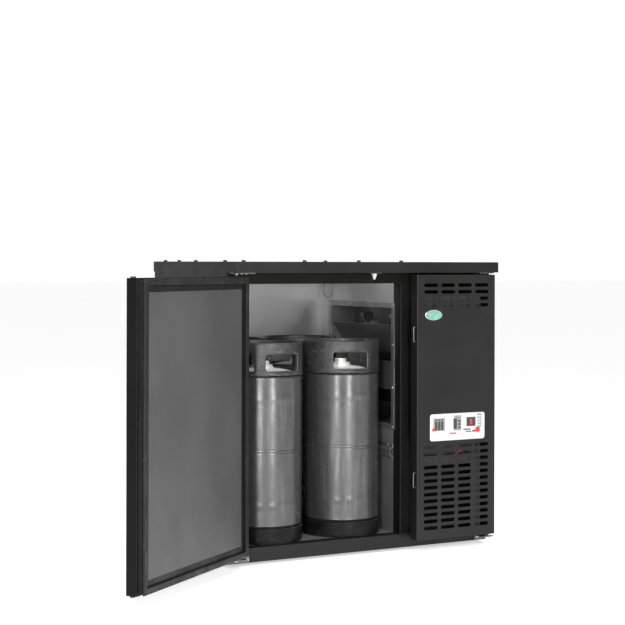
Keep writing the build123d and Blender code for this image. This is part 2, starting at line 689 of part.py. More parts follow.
def keg_steel(place):
    """Welded barrel with rolling ribs, narrowed at both ends, and its valve in the top neck."""
    with BuildPart() as shell:
        with BuildSketch(Plane(origin=place, x_dir=(1, 0, 0), z_dir=(0, -1, 0))):
            with BuildLine():
                Polyline(
                    (31, 566), (31, 562), (58, 559), (85, 553), (neck_radius, 545), (steel_radius, 537),
                    (steel_radius, 104), (neck_radius, 97), (neck_radius, 78), (60, 67), (0, 64),
                    (0, 64 + steel_wall), (60, 67 + steel_wall), (neck_inside, 79.5), (neck_inside, 98),
                    (steel_inside, 105), (steel_inside, 536), (neck_inside, 543.5), (84, 551.5),
                    (58, 557.3), (29, 560.5), (29, 566), close=True,
                )
            make_face()
        revolve(axis=Axis(place, (0, 0, 1)))
        for height in rib_heights:
            with BuildSketch(Plane(origin=place, x_dir=(1, 0, 0), z_dir=(0, -1, 0))):
                with Locations((steel_radius - 0.8, height)):
                    Rectangle(3.4, 5)
            revolve(axis=Axis(place, (0, 0, 1)))
        post(place, 28.8, (561, 572))
        post(place, 18, (572, 583))
        post(place, 12, (574, 584), Mode.SUBTRACT)
    return shell


def keg_rubber(place, windows):
    """Moulded collar with hand windows, and the base ring."""
    with BuildPart() as rubber:
        post(place, keg_radius, (collar_foot, base_top + keg_height))
        fillet(rubber.edges().group_by(Axis.Z)[-1], 4)
        post(place, collar_lip, (collar_foot, collar_foot + 10))
        fillet(rubber.edges().group_by(Axis.Z)[0], 3)
        post(place, collar_inner, (collar_foot - 1, base_top + keg_height + 1), Mode.SUBTRACT)
        for angle, width in windows:
            reach = Plane(origin=(place[0], place[1], window_foot), x_dir=(0, 0, 1), z_dir=(
                math.cos(math.radians(angle)), math.sin(math.radians(angle)), 0))
            with BuildSketch(reach):
                with Locations((window_height / 2, 0)):
                    RectangleRounded(window_height, width, 5)
            extrude(amount=keg_radius + 10, mode=Mode.SUBTRACT)
        post(place, keg_radius, (keg_floor, ring_top))
        post(place, collar_inner, (keg_floor - 1, ring_top + 1), Mode.SUBTRACT)
    return rubber


two_windows = [(-104, 108), (76, 108)]
four_windows = [(-85, 112), (-152, 84), (95, 112), (28, 84)]
window_sets = {
    "front_left": four_windows,
    "front_right": two_windows,
    "rear_left": two_windows,
    "rear_right": four_windows,
}
for corner, (a, b) in keg_places.items():
    pieces[f"keg_{corner}_steel"] = keg_steel(spot(a, b))
    pieces[f"keg_{corner}_rubber"] = keg_rubber(spot(a, b), window_sets[corner])

# ---------------------------------------------------------------- one file for each piece
for label, piece in pieces.items():
    piece.part.label = label
    export_step(piece.part, f"parts/{label}.step")
print(len(pieces), "pieces")
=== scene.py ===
"""Looks for the back-bar keg cooler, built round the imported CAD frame. Metres, X right, Y back, Z up."""

import json
import math

import bmesh
import bpy
from mathutils import Matrix, Vector, noise
from mathutils.geometry import delaunay_2d_cdt


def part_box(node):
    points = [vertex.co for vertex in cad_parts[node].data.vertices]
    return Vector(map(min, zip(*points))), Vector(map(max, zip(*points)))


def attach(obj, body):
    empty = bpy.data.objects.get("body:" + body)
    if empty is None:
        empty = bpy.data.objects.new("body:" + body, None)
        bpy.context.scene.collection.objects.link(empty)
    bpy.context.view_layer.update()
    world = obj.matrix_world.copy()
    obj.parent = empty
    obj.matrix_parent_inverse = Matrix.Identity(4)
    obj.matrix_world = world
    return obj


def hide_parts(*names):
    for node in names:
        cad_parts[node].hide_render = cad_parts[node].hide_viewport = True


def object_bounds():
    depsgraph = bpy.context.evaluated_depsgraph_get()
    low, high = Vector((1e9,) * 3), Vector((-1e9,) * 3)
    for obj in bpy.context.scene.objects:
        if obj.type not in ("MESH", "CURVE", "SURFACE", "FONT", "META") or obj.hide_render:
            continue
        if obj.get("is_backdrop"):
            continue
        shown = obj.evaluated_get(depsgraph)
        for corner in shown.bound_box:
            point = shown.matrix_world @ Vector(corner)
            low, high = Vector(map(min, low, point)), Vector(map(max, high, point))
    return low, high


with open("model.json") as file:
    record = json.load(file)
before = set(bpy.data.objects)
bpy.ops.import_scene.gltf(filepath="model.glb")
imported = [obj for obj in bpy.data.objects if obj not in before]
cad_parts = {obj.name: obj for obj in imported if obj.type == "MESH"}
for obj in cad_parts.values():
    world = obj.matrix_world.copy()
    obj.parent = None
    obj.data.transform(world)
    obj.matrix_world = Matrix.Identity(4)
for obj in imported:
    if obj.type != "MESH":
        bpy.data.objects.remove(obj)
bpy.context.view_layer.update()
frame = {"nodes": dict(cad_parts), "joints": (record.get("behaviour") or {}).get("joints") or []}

MM = 0.001
TAU = 2 * math.pi
JOINTS = {joint["name"]: joint for joint in frame["joints"]}
NODES = frame["nodes"]


def corners(node):
    """A node's lowest and highest corners as vectors."""
    low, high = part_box(node)
    return Vector(low), Vector(high)


def upright(node):
    """The point on the ground below the middle of a node."""
    low, high = corners(node)
    return Vector(((low.x + high.x) / 2, (low.y + high.y) / 2, 0))


def metres(points):
    """Pairs given in millimetres, in metres."""
    return [(a * MM, b * MM) for a, b in points]


# ------------------------------------ procedural materials
class Paint:
    """One procedural material: a Principled shader whose colour, roughness and bump come from noise."""

    def __init__(self, name, colour, metallic=0.0, roughness=0.5, **sockets):
        self.material = bpy.data.materials.new(name)
        self.material.use_nodes = True
        tree = self.material.node_tree
        self.nodes, self.links = tree.nodes, tree.links
        self.shader = self.nodes["Principled BSDF"]
        self.base = self.rgba(colour)
        self.plain = self.base[:3]
        self.shader.inputs["Base Color"].default_value = self.base
        self.shader.inputs["Metallic"].default_value = metallic
        self.shader.inputs["Roughness"].default_value = roughness
        for socket, value in sockets.items():
            self.shader.inputs[socket.replace("_", " ")].default_value = value
        self.place = self.nodes.new("ShaderNodeTexCoord").outputs["Object"]
        self.normal = None

    @staticmethod
    def rgba(colour):
        if isinstance(colour, (int, float)):
            colour = (colour, colour, colour)
        return (*colour[:3], 1.0)

    def feed(self, socket, value):
        """Join a socket to another, or set it to a number."""
        if isinstance(value, bpy.types.NodeSocket):
            self.links.new(value, socket)
        else:
            socket.default_value = value

    def mapped(self, stretch):
        if stretch == (1, 1, 1):
            return self.place
        node = self.nodes.new("ShaderNodeMapping")
        node.inputs["Scale"].default_value = stretch
        self.links.new(self.place, node.inputs["Vector"])
        return node.outputs["Vector"]

    def noise(self, scale, stretch=(1, 1, 1), detail=4.0, twist=0.0):
        node = self.nodes.new("ShaderNodeTexNoise")
        node.inputs["Scale"].default_value = scale
        node.inputs["Detail"].default_value = detail
        node.inputs["Distortion"].default_value = twist
        self.links.new(self.mapped(stretch), node.inputs["Vector"])
        return node.outputs["Fac"]

    def cells(self, scale):
        node = self.nodes.new("ShaderNodeTexVoronoi")
        node.inputs["Scale"].default_value = scale
        self.links.new(self.place, node.inputs["Vector"])
        return node.outputs["Distance"]

    def remap(self, value, low, high, to_low=0.0, to_high=1.0):
        """Ease a value from one range into another."""
        node = self.nodes.new("ShaderNodeMapRange")
        node.interpolation_type = "SMOOTHSTEP"
        for index, number in enumerate((low, high, to_low, to_high), 1):
            node.inputs[index].default_value = number
        self.links.new(value, node.inputs[0])
        return node.outputs[0]

    def math(self, operation, a, b):
        node = self.nodes.new("ShaderNodeMath")
        node.operation = operation
        self.feed(node.inputs[0], a)
        self.feed(node.inputs[1], b)
        return node.outputs[0]

    def tint(self, mask, colour):
        """Lay a colour over what is there, where the mask says."""
        node = self.nodes.new("ShaderNodeMix")
        node.data_type = "RGBA"
        self.feed(node.inputs[0], mask)
        self.feed(node.inputs[6], self.base)
        node.inputs[7].default_value = self.rgba(colour)
        self.base = node.outputs[2]
        self.links.new(self.base, self.shader.inputs["Base Color"])
        return self

    def shade(self, mask, factor):
        """Tint with the first colour made darker or lighter by a factor."""
        return self.tint(mask, [c * factor for c in self.plain])

    def rough(self, value, low, high, start=0.3, end=0.7):
        """Roughness from low to high as the value goes from start to end."""
        self.links.new(self.remap(value, start, end, low, high), self.shader.inputs["Roughness"])
        return self

    def bump(self, height, strength, distance):
        node = self.nodes.new("ShaderNodeBump")
        node.inputs["Strength"].default_value = strength
        node.inputs["Distance"].default_value = distance
        self.links.new(height, node.inputs["Height"])
        if self.normal is not None:
            self.links.new(self.normal, node.inputs["Normal"])
        self.normal = node.outputs["Normal"]
        self.links.new(self.normal, self.shader.inputs["Normal"])
        return self

    def round_edges(self, radius):
        """Shade crisp folds as if they had this radius."""
        node = self.nodes.new("ShaderNodeBevel")
        node.samples = 4
        node.inputs["Radius"].default_value = radius
        self.normal = node.outputs["Normal"]
        self.links.new(self.normal, self.shader.inputs["Normal"])
        return self

    def edge_wear_and_highlight(self, radius, colour, amount=1.0, grain=60.0):
        """Lighten the corners, broken up by noise: rubbed wear on the enamel and plastics, and a painted
        highlight on the keg rubber's rims and the air box steel's edges.
        """
        bevel = self.nodes.new("ShaderNodeBevel")
        bevel.samples = 4
        bevel.inputs["Radius"].default_value = radius
        geometry = self.nodes.new("ShaderNodeNewGeometry")
        dot = self.nodes.new("ShaderNodeVectorMath")
        dot.operation = "DOT_PRODUCT"
        self.links.new(bevel.outputs["Normal"], dot.inputs[0])
        self.links.new(geometry.outputs["Normal"], dot.inputs[1])
        edge = self.remap(dot.outputs["Value"], 0.98, 0.8, 0.0, amount)
        patchy = self.remap(self.noise(grain, detail=6), 0.35, 0.65)
        return self.tint(self.math("MULTIPLY", edge, patchy), colour)


def enamel(name, colour, wear=0.09, roughness=(0.34, 0.5), gloss=0.3):
    """Black stoving enamel: faint orange peel, wiping marks, dust specks and rubbed folds."""
    p = Paint(name, colour, roughness=0.42, Specular_IOR_Level=gloss)
    p.round_edges(0.0012)
    p.shade(p.remap(p.noise(5, detail=3), 0.35, 0.7, 0.0, 0.45), 1.5)
    p.tint(p.remap(p.noise(16, (1, 1, 4), 6, 0.6), 0.64, 0.8, 0.0, 0.25), wear * 0.6)
    p.tint(p.remap(p.noise(420, detail=1), 0.76, 0.8, 0.0, 0.5), wear * 1.4)
    p.edge_wear_and_highlight(0.0016, wear, 0.8)
    p.rough(p.noise(11, detail=5), *roughness)
    p.bump(p.noise(700, detail=2), 0.1, 0.0004)
    p.bump(p.noise(9, detail=1), 0.05, 0.004)
    return p.material


def sheet_steel(
    name, colour, roughness=(0.3, 0.5), stretch=(1, 1, 60), scale=30, spots=0.2, metallic=1.0, edge=0.0
):
    """Satin sheet steel: fine brush lines, cloudy handling marks, small dull spots and, when edge is given, a
    painted highlight along its edges.
    """
    p = Paint(name, colour, metallic=metallic, roughness=0.4)
    p.shade(p.remap(p.noise(4, detail=4, twist=0.4), 0.35, 0.7, 0.0, 0.5), 0.78)
    p.shade(p.remap(p.noise(scale, stretch, 3), 0.45, 0.8, 0.0, 0.3), 0.7)
    p.tint(p.remap(p.noise(160, detail=2), 0.72, 0.8, 0.0, spots), 0.12)
    # painted highlight: the edges are lightened towards the edge colour, standing in for light catching the
    # folds
    if edge:
        p.edge_wear_and_highlight(0.002, edge, 1.0, 20)
    p.rough(p.noise(7, detail=6), *roughness)
    p.bump(p.noise(scale * 3, stretch, 2), 0.06, 0.0003)
    p.bump(p.noise(5, detail=1), 0.12, 0.006)
    return p.material


def moulded(name, colour, roughness=(0.4, 0.6), grain=500, scuff=0.06, edge=0.08, **sockets):
    """Moulded or extruded plastic: fine grain, light rubbing and paler corners."""
    p = Paint(name, colour, roughness=0.5, **sockets)
    p.tint(p.remap(p.noise(9, detail=5), 0.4, 0.75, 0.0, 0.5), [min(1, c * 1.6 + 0.004) for c in p.plain])
    p.tint(p.remap(p.noise(38, (1, 1, 3), 8, 0.8), 0.6, 0.74, 0.0, 0.4), scuff)
    p.edge_wear_and_highlight(0.0012, edge, 0.5)
    p.rough(p.noise(24, detail=5), *roughness)
    p.bump(p.noise(grain, detail=3), 0.12, 0.0003)
    return p.material


def zinc_plate():
    """Zinc: spangled cells, dull bloom and bright rubbed corners."""
    p = Paint("zinc_plate", 0.2, metallic=1.0, roughness=0.38)
    p.round_edges(0.0008)
    p.tint(p.remap(p.cells(240), 0.1, 0.7, 0.0, 0.6), 0.09)
    p.tint(p.remap(p.noise(46, detail=5), 0.55, 0.75, 0.0, 0.5), (0.05, 0.048, 0.043))
    p.rough(p.noise(80, detail=4), 0.26, 0.55)
    p.bump(p.cells(240), 0.06, 0.0003)
    return p.material


def keg_steel(name, colour, stain, roughness):
    """Stainless barrel: rolled brush lines, stains, small dents, dark nicks, long scratches and painted
    vertical reflection streaks.
    """
    p = Paint(name, colour, metallic=0.7, roughness=0.35)
    p.shade(p.remap(p.noise(6, (1, 1, 0.35), 6, 1.0), 0.42, 0.72, 0.0, 0.55), 0.66)
    p.shade(p.remap(p.noise(28, (1, 1, 26), 3), 0.42, 0.72, 0.0, 0.5), 0.6)
    # painted reflection: pale vertical streaks standing in for the reflections of tall lights
    p.shade(p.remap(p.noise(70, (1, 1, 0.08), 4), 0.5, 0.75, 0.0, 0.5), 1.7)
    p.shade(p.remap(p.noise(60, (3, 3, 0.12), 5, 0.5), 0.69, 0.74, 0.0, stain), 0.35)
    p.shade(p.remap(p.noise(150, detail=2), 0.74, 0.78, 0.0, 0.8), 0.15)
    p.shade(p.remap(p.noise(90, (1, 1, 0.6), 3), 0.73, 0.77, 0.0, 0.6), 2.2)
    p.rough(p.noise(13, (1, 1, 0.7), 7, 0.5), *roughness)
    p.bump(p.noise(24, (1, 1, 40), 3), 0.12, 0.0004)
    p.bump(p.noise(30, (1, 1, 0.2), 4), 0.14, 0.0008)
    p.bump(p.remap(p.noise(60, (3, 3, 0.12), 5, 0.5), 0.69, 0.74), 0.15, 0.0003)
    return p.material


def keg_rubber(name, colour, scuff):
    """Moulded rubber: chalky scuffs, rims painted pale as a highlight, and a pebbled surface."""
    p = Paint(name, colour, roughness=0.5, Specular_IOR_Level=0.4 * scuff)
    p.tint(p.remap(p.noise(12, detail=6, twist=0.6), 0.42, 0.75, 0.0, 0.7), 0.034 * scuff)
    p.tint(p.remap(p.noise(55, (1, 1, 2.5), 9, 1.2), 0.6, 0.7, 0.0, 0.6), 0.1 * scuff)
    p.tint(p.remap(p.noise(140, (0.25, 0.25, 3), 6, 0.5), 0.66, 0.72, 0.0, 0.55), 0.2 * scuff)
    # painted highlight: the rims are lightened to 0.3, standing in for light catching them
    p.edge_wear_and_highlight(0.004, 0.3, 0.9, 45)
    p.rough(p.noise(30, detail=6), 0.34, 0.6)
    p.bump(p.noise(260, detail=5), 0.2, 0.0006)
    p.bump(p.noise(30, detail=3), 0.12, 0.002)
    return p.material


def gasket_vinyl():
    """Soft black vinyl: chalky wiping marks and a satin skin."""
    p = Paint("gasket_vinyl", 0.008, roughness=0.45, Specular_IOR_Level=0.22)
    p.tint(p.remap(p.noise(14, (1, 1, 1), 7, 1.0), 0.5, 0.75, 0.0, 0.4), 0.028)
    p.tint(p.remap(p.noise(44, (1, 1, 1), 8, 0.6), 0.62, 0.74, 0.0, 0.45), 0.06)
    p.rough(p.noise(18, detail=5), 0.35, 0.6)
    p.bump(p.noise(90, detail=3), 0.1, 0.0006)
    return p.material


def foam():
    """Yellow rigid foam with open cells on the cut faces."""
    p = Paint("rigid_foam", (0.78, 0.68, 0.42), roughness=0.9)
    p.tint(p.remap(p.cells(320), 0.1, 0.6, 0.0, 0.6), (0.6, 0.48, 0.26))
    p.bump(p.cells(320), 0.5, 0.001)
    return p.material


def metal(name, colour, roughness=(0.2, 0.4), dull=0.5, scale=40):
    """Bare metal: tarnish clouds and fine drawing marks."""
    p = Paint(name, colour, metallic=1.0, roughness=0.3)
    p.shade(p.remap(p.noise(scale, detail=6, twist=0.5), 0.45, 0.75, 0.0, 0.7), dull)
    p.rough(p.noise(scale * 1.7, detail=4), *roughness)
    p.bump(p.noise(scale * 8, detail=3), 0.08, 0.0003)
    return p.material


def resin():
    """Glossy domed resin with a faint pearl mottle."""
    p = Paint("badge_resin", (0.12, 0.3, 0.23), roughness=0.12, Coat_Weight=1.0, Coat_Roughness=0.05)
    p.tint(p.remap(p.noise(60, detail=6, twist=1.0), 0.4, 0.7, 0.0, 0.6), (0.2, 0.4, 0.32))
    p.tint(p.remap(p.noise(300, detail=2), 0.55, 0.8, 0.0, 0.4), (0.06, 0.2, 0.15))
    p.rough(p.noise(120, detail=3), 0.08, 0.18)
    return p.material


def printed(name, colour):
    """Printed film: slight mottling and a soft laminate shine."""
    p = Paint(name, colour, roughness=0.3, Coat_Weight=0.3, Coat_Roughness=0.2)
    p.shade(p.remap(p.noise(80, detail=4), 0.4, 0.75, 0.0, 0.4), 0.82)
    p.rough(p.noise(60, detail=3), 0.25, 0.4)
    p.bump(p.noise(400, detail=2), 0.05, 0.0002)
    return p.material


ENAMEL = enamel("black_enamel", 0.007, 0.06, gloss=0.24)
PANEL_ENAMEL = enamel("panel_enamel", 0.006, 0.04, gloss=0.3)
# painted shade: a darker, less glossy copy of the black enamel for the front frame, whose top rail sits in
# shade under the worktop
PAINTED_SHADE_FRAME_ENAMEL = enamel("frame_enamel_painted_shade", 0.003, 0.04, gloss=0.12)
DOOR_ENAMEL = enamel("door_enamel", 0.004, 0.04, gloss=0.1)
TRIM = moulded("black_pvc", 0.005, (0.3, 0.5), scuff=0.015, edge=0.03, Specular_IOR_Level=0.15)
LINING = sheet_steel("room_lining", 0.33, metallic=0.8)
# painted highlight: edges lightened to 0.75 on the evaporator frame, housing, baffles, bumper rail and
# knock-out ring
AIR_STEEL = sheet_steel("air_box_steel_painted_highlights", 0.2, metallic=0.8, edge=0.75)
# painted shade: a darker copy of the air box steel for the fan plate deep in the recess, with painted
# highlights on its edges
PAINTED_SHADE_STEEL = sheet_steel("fan_plate_steel_painted_shade", 0.1, metallic=0.8, edge=0.4)
GUARD_WIRE = metal("guard_wire", 0.95, (0.25, 0.45))
GALVANISED = sheet_steel("galvanised", (0.42, 0.43, 0.44), (0.35, 0.6), (1, 1, 1), 60, 0.4)
DOOR_LINING = enamel("door_lining", 0.043, 0.08, (0.32, 0.42))
GASKET = gasket_vinyl()
ZINC = zinc_plate()
GREY_STEEL = enamel("grey_steel", 0.06, 0.2)
PIN = metal("bright_pin", 0.6, (0.15, 0.35))
CATCH_ZINC = metal("dull_zinc", 0.16, (0.35, 0.55), 0.6, 90)
SCREW = metal("screw_zinc", (0.55, 0.54, 0.5), (0.2, 0.4), 0.6, 200)
NYLON = moulded("black_nylon", 0.012, (0.35, 0.55))
WHITE = moulded("white_moulding", 0.45, (0.3, 0.5), scuff=0.3, edge=0.6)
FAN_BLACK = moulded("fan_black", 0.01, (0.35, 0.55), edge=0.05)
FINS = metal("black_fins", 0.03, (0.4, 0.6), 0.6, 90)
ALUMINIUM = metal("fan_aluminium", 0.55, (0.25, 0.45))
COPPER = metal("copper_tube", (0.68, 0.32, 0.2), (0.22, 0.45), 0.45)
POT = enamel("compressor_enamel", 0.008, 0.06, (0.25, 0.4))
RED = moulded("red_rocker", (0.6, 0.02, 0.02), (0.15, 0.3), scuff=0.3, edge=0.5, Coat_Weight=0.6)
KNOB = moulded("black_knob", 0.012, (0.3, 0.5))
KEG_STEEL = keg_steel("keg_steel", 0.1, 0.7, (0.24, 0.34))
# painted sheen: near-white, partly matte steel standing in for the bright reflection on the domed heads
KEG_HEAD = sheet_steel("keg_head_steel_painted_sheen", 0.85, (0.35, 0.5), metallic=0.35)
KEG_RUBBER = keg_rubber("keg_rubber", 0.014, 1.4)
BASE_RUBBER = keg_rubber("keg_base_rubber", 0.004, 0.35)
RESIN = resin()
CHROME_RIM = metal("bright_rim", 0.7, (0.08, 0.2), 0.8)
LABEL = printed("label_film", (0.52, 0.53, 0.53))
INK_DARK = printed("ink_dark", 0.03)
INK_GREY = printed("ink_grey", 0.22)
INK_RED = printed("ink_red", (0.55, 0.02, 0.03))
FOAM = foam()

NODE_LOOKS = {
    ENAMEL: ["base_tray", "left_side_panel", "right_side_panel", "worktop"],
    PAINTED_SHADE_FRAME_ENAMEL: ["front_frame"],
    PANEL_ENAMEL: ["service_panel"],
    DOOR_ENAMEL: ["door_skin"],
    TRIM: ["jamb_trim", "door_breaker"],
    LINING: ["inner_liner"],
    AIR_STEEL: ["evaporator_frame", "evaporator_housing", "air_baffles", "bumper_rail"],
    PAINTED_SHADE_STEEL: ["fan_plate"],
    GALVANISED: ["back_panel"],
    DOOR_LINING: ["door_liner"],
    ZINC: ["door_hinge_brackets", "panel_hinge_brackets"],
    PIN: ["hinge_pins"],
    CATCH_ZINC: ["panel_catches"],
    NYLON: ["door_bushes", "cable_gland", "catch_housing"],
    FAN_BLACK: ["fan_frames"],
    GREY_STEEL: ["condenser_shroud", "service_frame", "control_box"],
    COPPER: ["refrigerant_pipes"],
    POT: ["condenser_motor"],
    RED: ["power_switch"],
    FOAM: ["insulation", "door_foam", "worktop_core"],
}
for look, names in NODE_LOOKS.items():
    for node_name in names:
        node_mesh = NODES[node_name].data
        node_mesh.materials.clear()
        node_mesh.materials.append(look)


# ------------------------------------ mesh making
def circle(radius, steps):
    """Points of a circle about the origin."""
    return [(radius * math.cos(TAU * i / steps), radius * math.sin(TAU * i / steps)) for i in range(steps)]


class Form:
    """Collects turned, bent, boxed and cut-out shapes into one mesh."""

    def __init__(self):
        self.bm = bmesh.new()

    def take(self, other, matrix=None):
        mesh = bpy.data.meshes.new("part")
        other.to_mesh(mesh)
        other.free()
        if matrix is not None:
            mesh.transform(matrix)
        self.bm.from_mesh(mesh)
        bpy.data.meshes.remove(mesh)
        return self

    def rings(self, loops, matrix=None, close=False, caps=True):
        """Skin a list of equal vertex loops."""
        bm = bmesh.new()
        made = [[bm.verts.new(p) for p in loop] for loop in loops]
        pairs = list(zip(made, made[1:]))
        if close:
            pairs.append((made[-1], made[0]))
        for low, high in pairs:
            for i in range(len(low)):
                j = (i + 1) % len(low)
                bm.faces.new((low[i], low[j], high[j], high[i]))
        if caps and not close:
            bm.faces.new(made[0][::-1])
            bm.faces.new(made[-1])
        bmesh.ops.recalc_face_normals(bm, faces=bm.faces)
        return self.take(bm, matrix)

    def lathe(self, profile, matrix=None, steps=96, close=False):
        """Turn (radius, height) points round Z. Points on the axis become single vertices."""
        self.rings([
            [Vector((x, y, height)) for x, y in circle(max(radius, 1e-5), steps)]
            for radius, height in profile
        ], matrix, close)
        bmesh.ops.remove_doubles(self.bm, verts=self.bm.verts, dist=2e-5)
        return self

    def box(self, low, high, bevel=0.0, matrix=None):
        bm = bmesh.new()
        low, high = Vector(low), Vector(high)
        size = high - low
        place = Matrix.Translation((low + high) / 2) @ Matrix.Diagonal((*size, 1))
        bmesh.ops.create_cube(bm, size=1, matrix=place)
        if bevel:
            bmesh.ops.bevel(
                bm, geom=bm.edges[:], offset=bevel, segments=2, profile=0.5,
                affect="EDGES", clamp_overlap=True,
            )
        return self.take(bm, matrix)

    def tube(self, points, radius, steps=12, close=False, matrix=None):
        """A round bar along a list of points."""
        points = [Vector(p) for p in points]
        count = len(points)
        loops = []
        side = None
        for i, point in enumerate(points):
            before = points[i - 1] if i or close else point
            after = points[(i + 1) % count] if i < count - 1 or close else point
            along = (after - before).normalized()
            if side is None:
                side = along.orthogonal().normalized()
            side = (side - along * side.dot(along)).normalized()
            up = along.cross(side)
            loops.append([
                point + radius * (math.cos(TAU * k / steps) * side + math.sin(TAU * k / steps) * up)
                for k in range(steps)
            ])
        return self.rings(loops, matrix, close)

    def ring(self, centre, axis, radius, wire, steps=72):
        """A round wire bent into a circle."""
        turn = Vector(axis).to_track_quat("Z", "Y").to_matrix().to_4x4()
        points = [(x, y, 0) for x, y in circle(radius, steps)]
        return self.tube(points, wire, 8, True, Matrix.Translation(centre) @ turn)

    def plate(self, outline, low, high, matrix=None, bevel=0.0):
        """Extrude a closed (x, y) outline between two heights."""
        bm = bmesh.new()
        face = bm.faces.new([bm.verts.new((x, y, low)) for x, y in outline])
        made = bmesh.ops.extrude_face_region(bm, geom=[face])
        top = [v for v in made["geom"] if isinstance(v, bmesh.types.BMVert)]
        bmesh.ops.translate(bm, verts=top, vec=(0, 0, high - low))
        bmesh.ops.recalc_face_normals(bm, faces=bm.faces)
        if bevel:
            level = [e for e in bm.edges if all(abs(v.co.z - high) < 1e-7 for v in e.verts)]
            bmesh.ops.bevel(bm, geom=level, offset=bevel, segments=2, profile=0.5, affect="EDGES")
        return self.take(bm, matrix)

    def screw(self, at, axis, radius=3.4 * MM, height=2.2 * MM):
        """A pan head screw with a hexagon socket."""
        turn = Vector(axis).to_track_quat("Z", "Y").to_matrix().to_4x4()
        steps = 24
        rings = [
            (1.0, 0.0, 0), (1.0, 0.35, 0), (0.9, 0.72, 0), (0.7, 0.94, 0), (0.56, 1.0, 0),
            (0.46, 1.0, 1), (0.44, 0.94, 1), (0.42, 0.4, 1),
        ]
        loops = []
        for share, level, hexagon in rings:
            loop = []
            for i in range(steps):
                angle = TAU * i / steps
                flat = 1 / math.cos((angle % (math.pi / 3)) - math.pi / 6) * 0.9 if hexagon else 1
                reach = radius * share * flat
                loop.append((reach * math.cos(angle), reach * math.sin(angle), height * level))
            loops.append(loop)
        return self.rings(loops, Matrix.Translation(at) @ turn)

    def done(self, name, body, slot, look, replaces=(), sharp=38):
        """Make the object, shade it smooth up to the sharp angle, and tie it to its body."""
        bmesh.ops.remove_doubles(self.bm, verts=self.bm.verts, dist=1e-6)
        for face in self.bm.faces:
            face.smooth = True
        limit = math.radians(sharp)
        for edge in self.bm.edges:
            edge.smooth = len(edge.link_faces) == 2 and edge.calc_face_angle(0) < limit
        mesh = bpy.data.meshes.new(name)
        self.bm.to_mesh(mesh)
        self.bm.free()
        mesh.materials.append(look)
        piece = bpy.data.objects.new(name, mesh)
        bpy.context.scene.collection.objects.link(piece)
        if replaces:
            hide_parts(*replaces)
        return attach(piece, body)


def arc(centre, radius, start, stop, steps):
    """Points of an arc in a profile, angles in degrees."""
    return [
        (
            centre[0] + radius * math.cos(math.radians(start + (stop - start) * i / steps)),
            centre[1] + radius * math.sin(math.radians(start + (stop - start) * i / steps)),
        )
        for i in range(steps + 1)
    ]


def rounded(width, height, radius, steps=6):
    """A rounded rectangle about the origin."""
    w, h = width / 2 - radius, height / 2 - radius
    points = []
    for (x, y), start in (((w, h), 0), ((-w, h), 90), ((-w, -h), 180), ((w, -h), 270)):
        points += arc((x, y), radius, start, start + 90, steps)
    return points


# ------------------------------------ kegs
# hand windows as (angle round the collar, width)
WINDOWS_TWO = [(-104, 108), (76, 108)]
WINDOWS_FOUR = [(-85, 112), (-152, 84), (95, 112), (28, 84)]
KEGS = {
    "front_left": (WINDOWS_FOUR, 1),
    "front_right": (WINDOWS_TWO, 2),
    "rear_left": (WINDOWS_TWO, 3),
    "rear_right": (WINDOWS_FOUR, 4),
}
COLLAR_OUT, COLLAR_IN = 117.6, 107.2
COLLAR_WALL, COLLAR_STEP = (552.0, 614.0), 3.0
BARREL_RADIUS, BARREL_FOOT, BARREL_TOP = 116.3, 104.0, 537.0
ROLLED_BANDS, WELD = (163, 476), 323


def keg_shell(axis_point, seed):
    """The steel barrel with its rolled bands, weld bead and small dents."""
    body = []
    height = BARREL_FOOT
    while height <= BARREL_TOP:
        radius = BARREL_RADIUS
        low_band, high_band = (0.7 * math.exp(-((height - middle) / 9) ** 2) for middle in ROLLED_BANDS)
        radius += low_band + high_band
        from_weld = abs(height - WELD)
        radius += 0.7 * math.exp(-(from_weld / 1.5) ** 2) - 0.5 * math.exp(-((from_weld - 4) / 1.6) ** 2)
        body.append((radius, height))
        height += 0.75 if from_weld < 8 else 4.5 if from_weld > 20 else 2
    outer = [(0.01, 62.0), (60, 66.0), (95, 73), (104, 80), (106.5, 88), (106.8, 97), (110, 101.5), *body]
    outer += [(115.4, 539.5), (112.5, 542), (108, 543.5), (106.2, 545)]
    outer += [(105, 544.4), (104.2, 542.6), (104.8, 536), (114.4, 533), (114.6, 106), (105, 98), (104.6, 82)]
    outer += [(60, 67.6), (0.01, 63.6)]
    form = Form()
    form.lathe(metres(outer), steps=180)
    for vert in form.bm.verts:
        flat = math.hypot(vert.co.x, vert.co.y)
        if 0.113 < flat and 0.105 < vert.co.z < 0.537:
            spot = vert.co * 11 + Vector((seed * 7.3, 0, 0))
            push = 0.35 * noise.noise(spot) + 0.22 * noise.noise(spot * 2.7) - 0.25
            dent = noise.noise(vert.co * 24 + Vector((0, seed * 3.1, 0)))
            push -= 1.1 * max(0.0, dent - 0.42)
            scale = 1 + push * MM / flat
            vert.co.x *= scale
            vert.co.y *= scale
    bmesh.ops.translate(form.bm, verts=form.bm.verts, vec=axis_point)
    return form


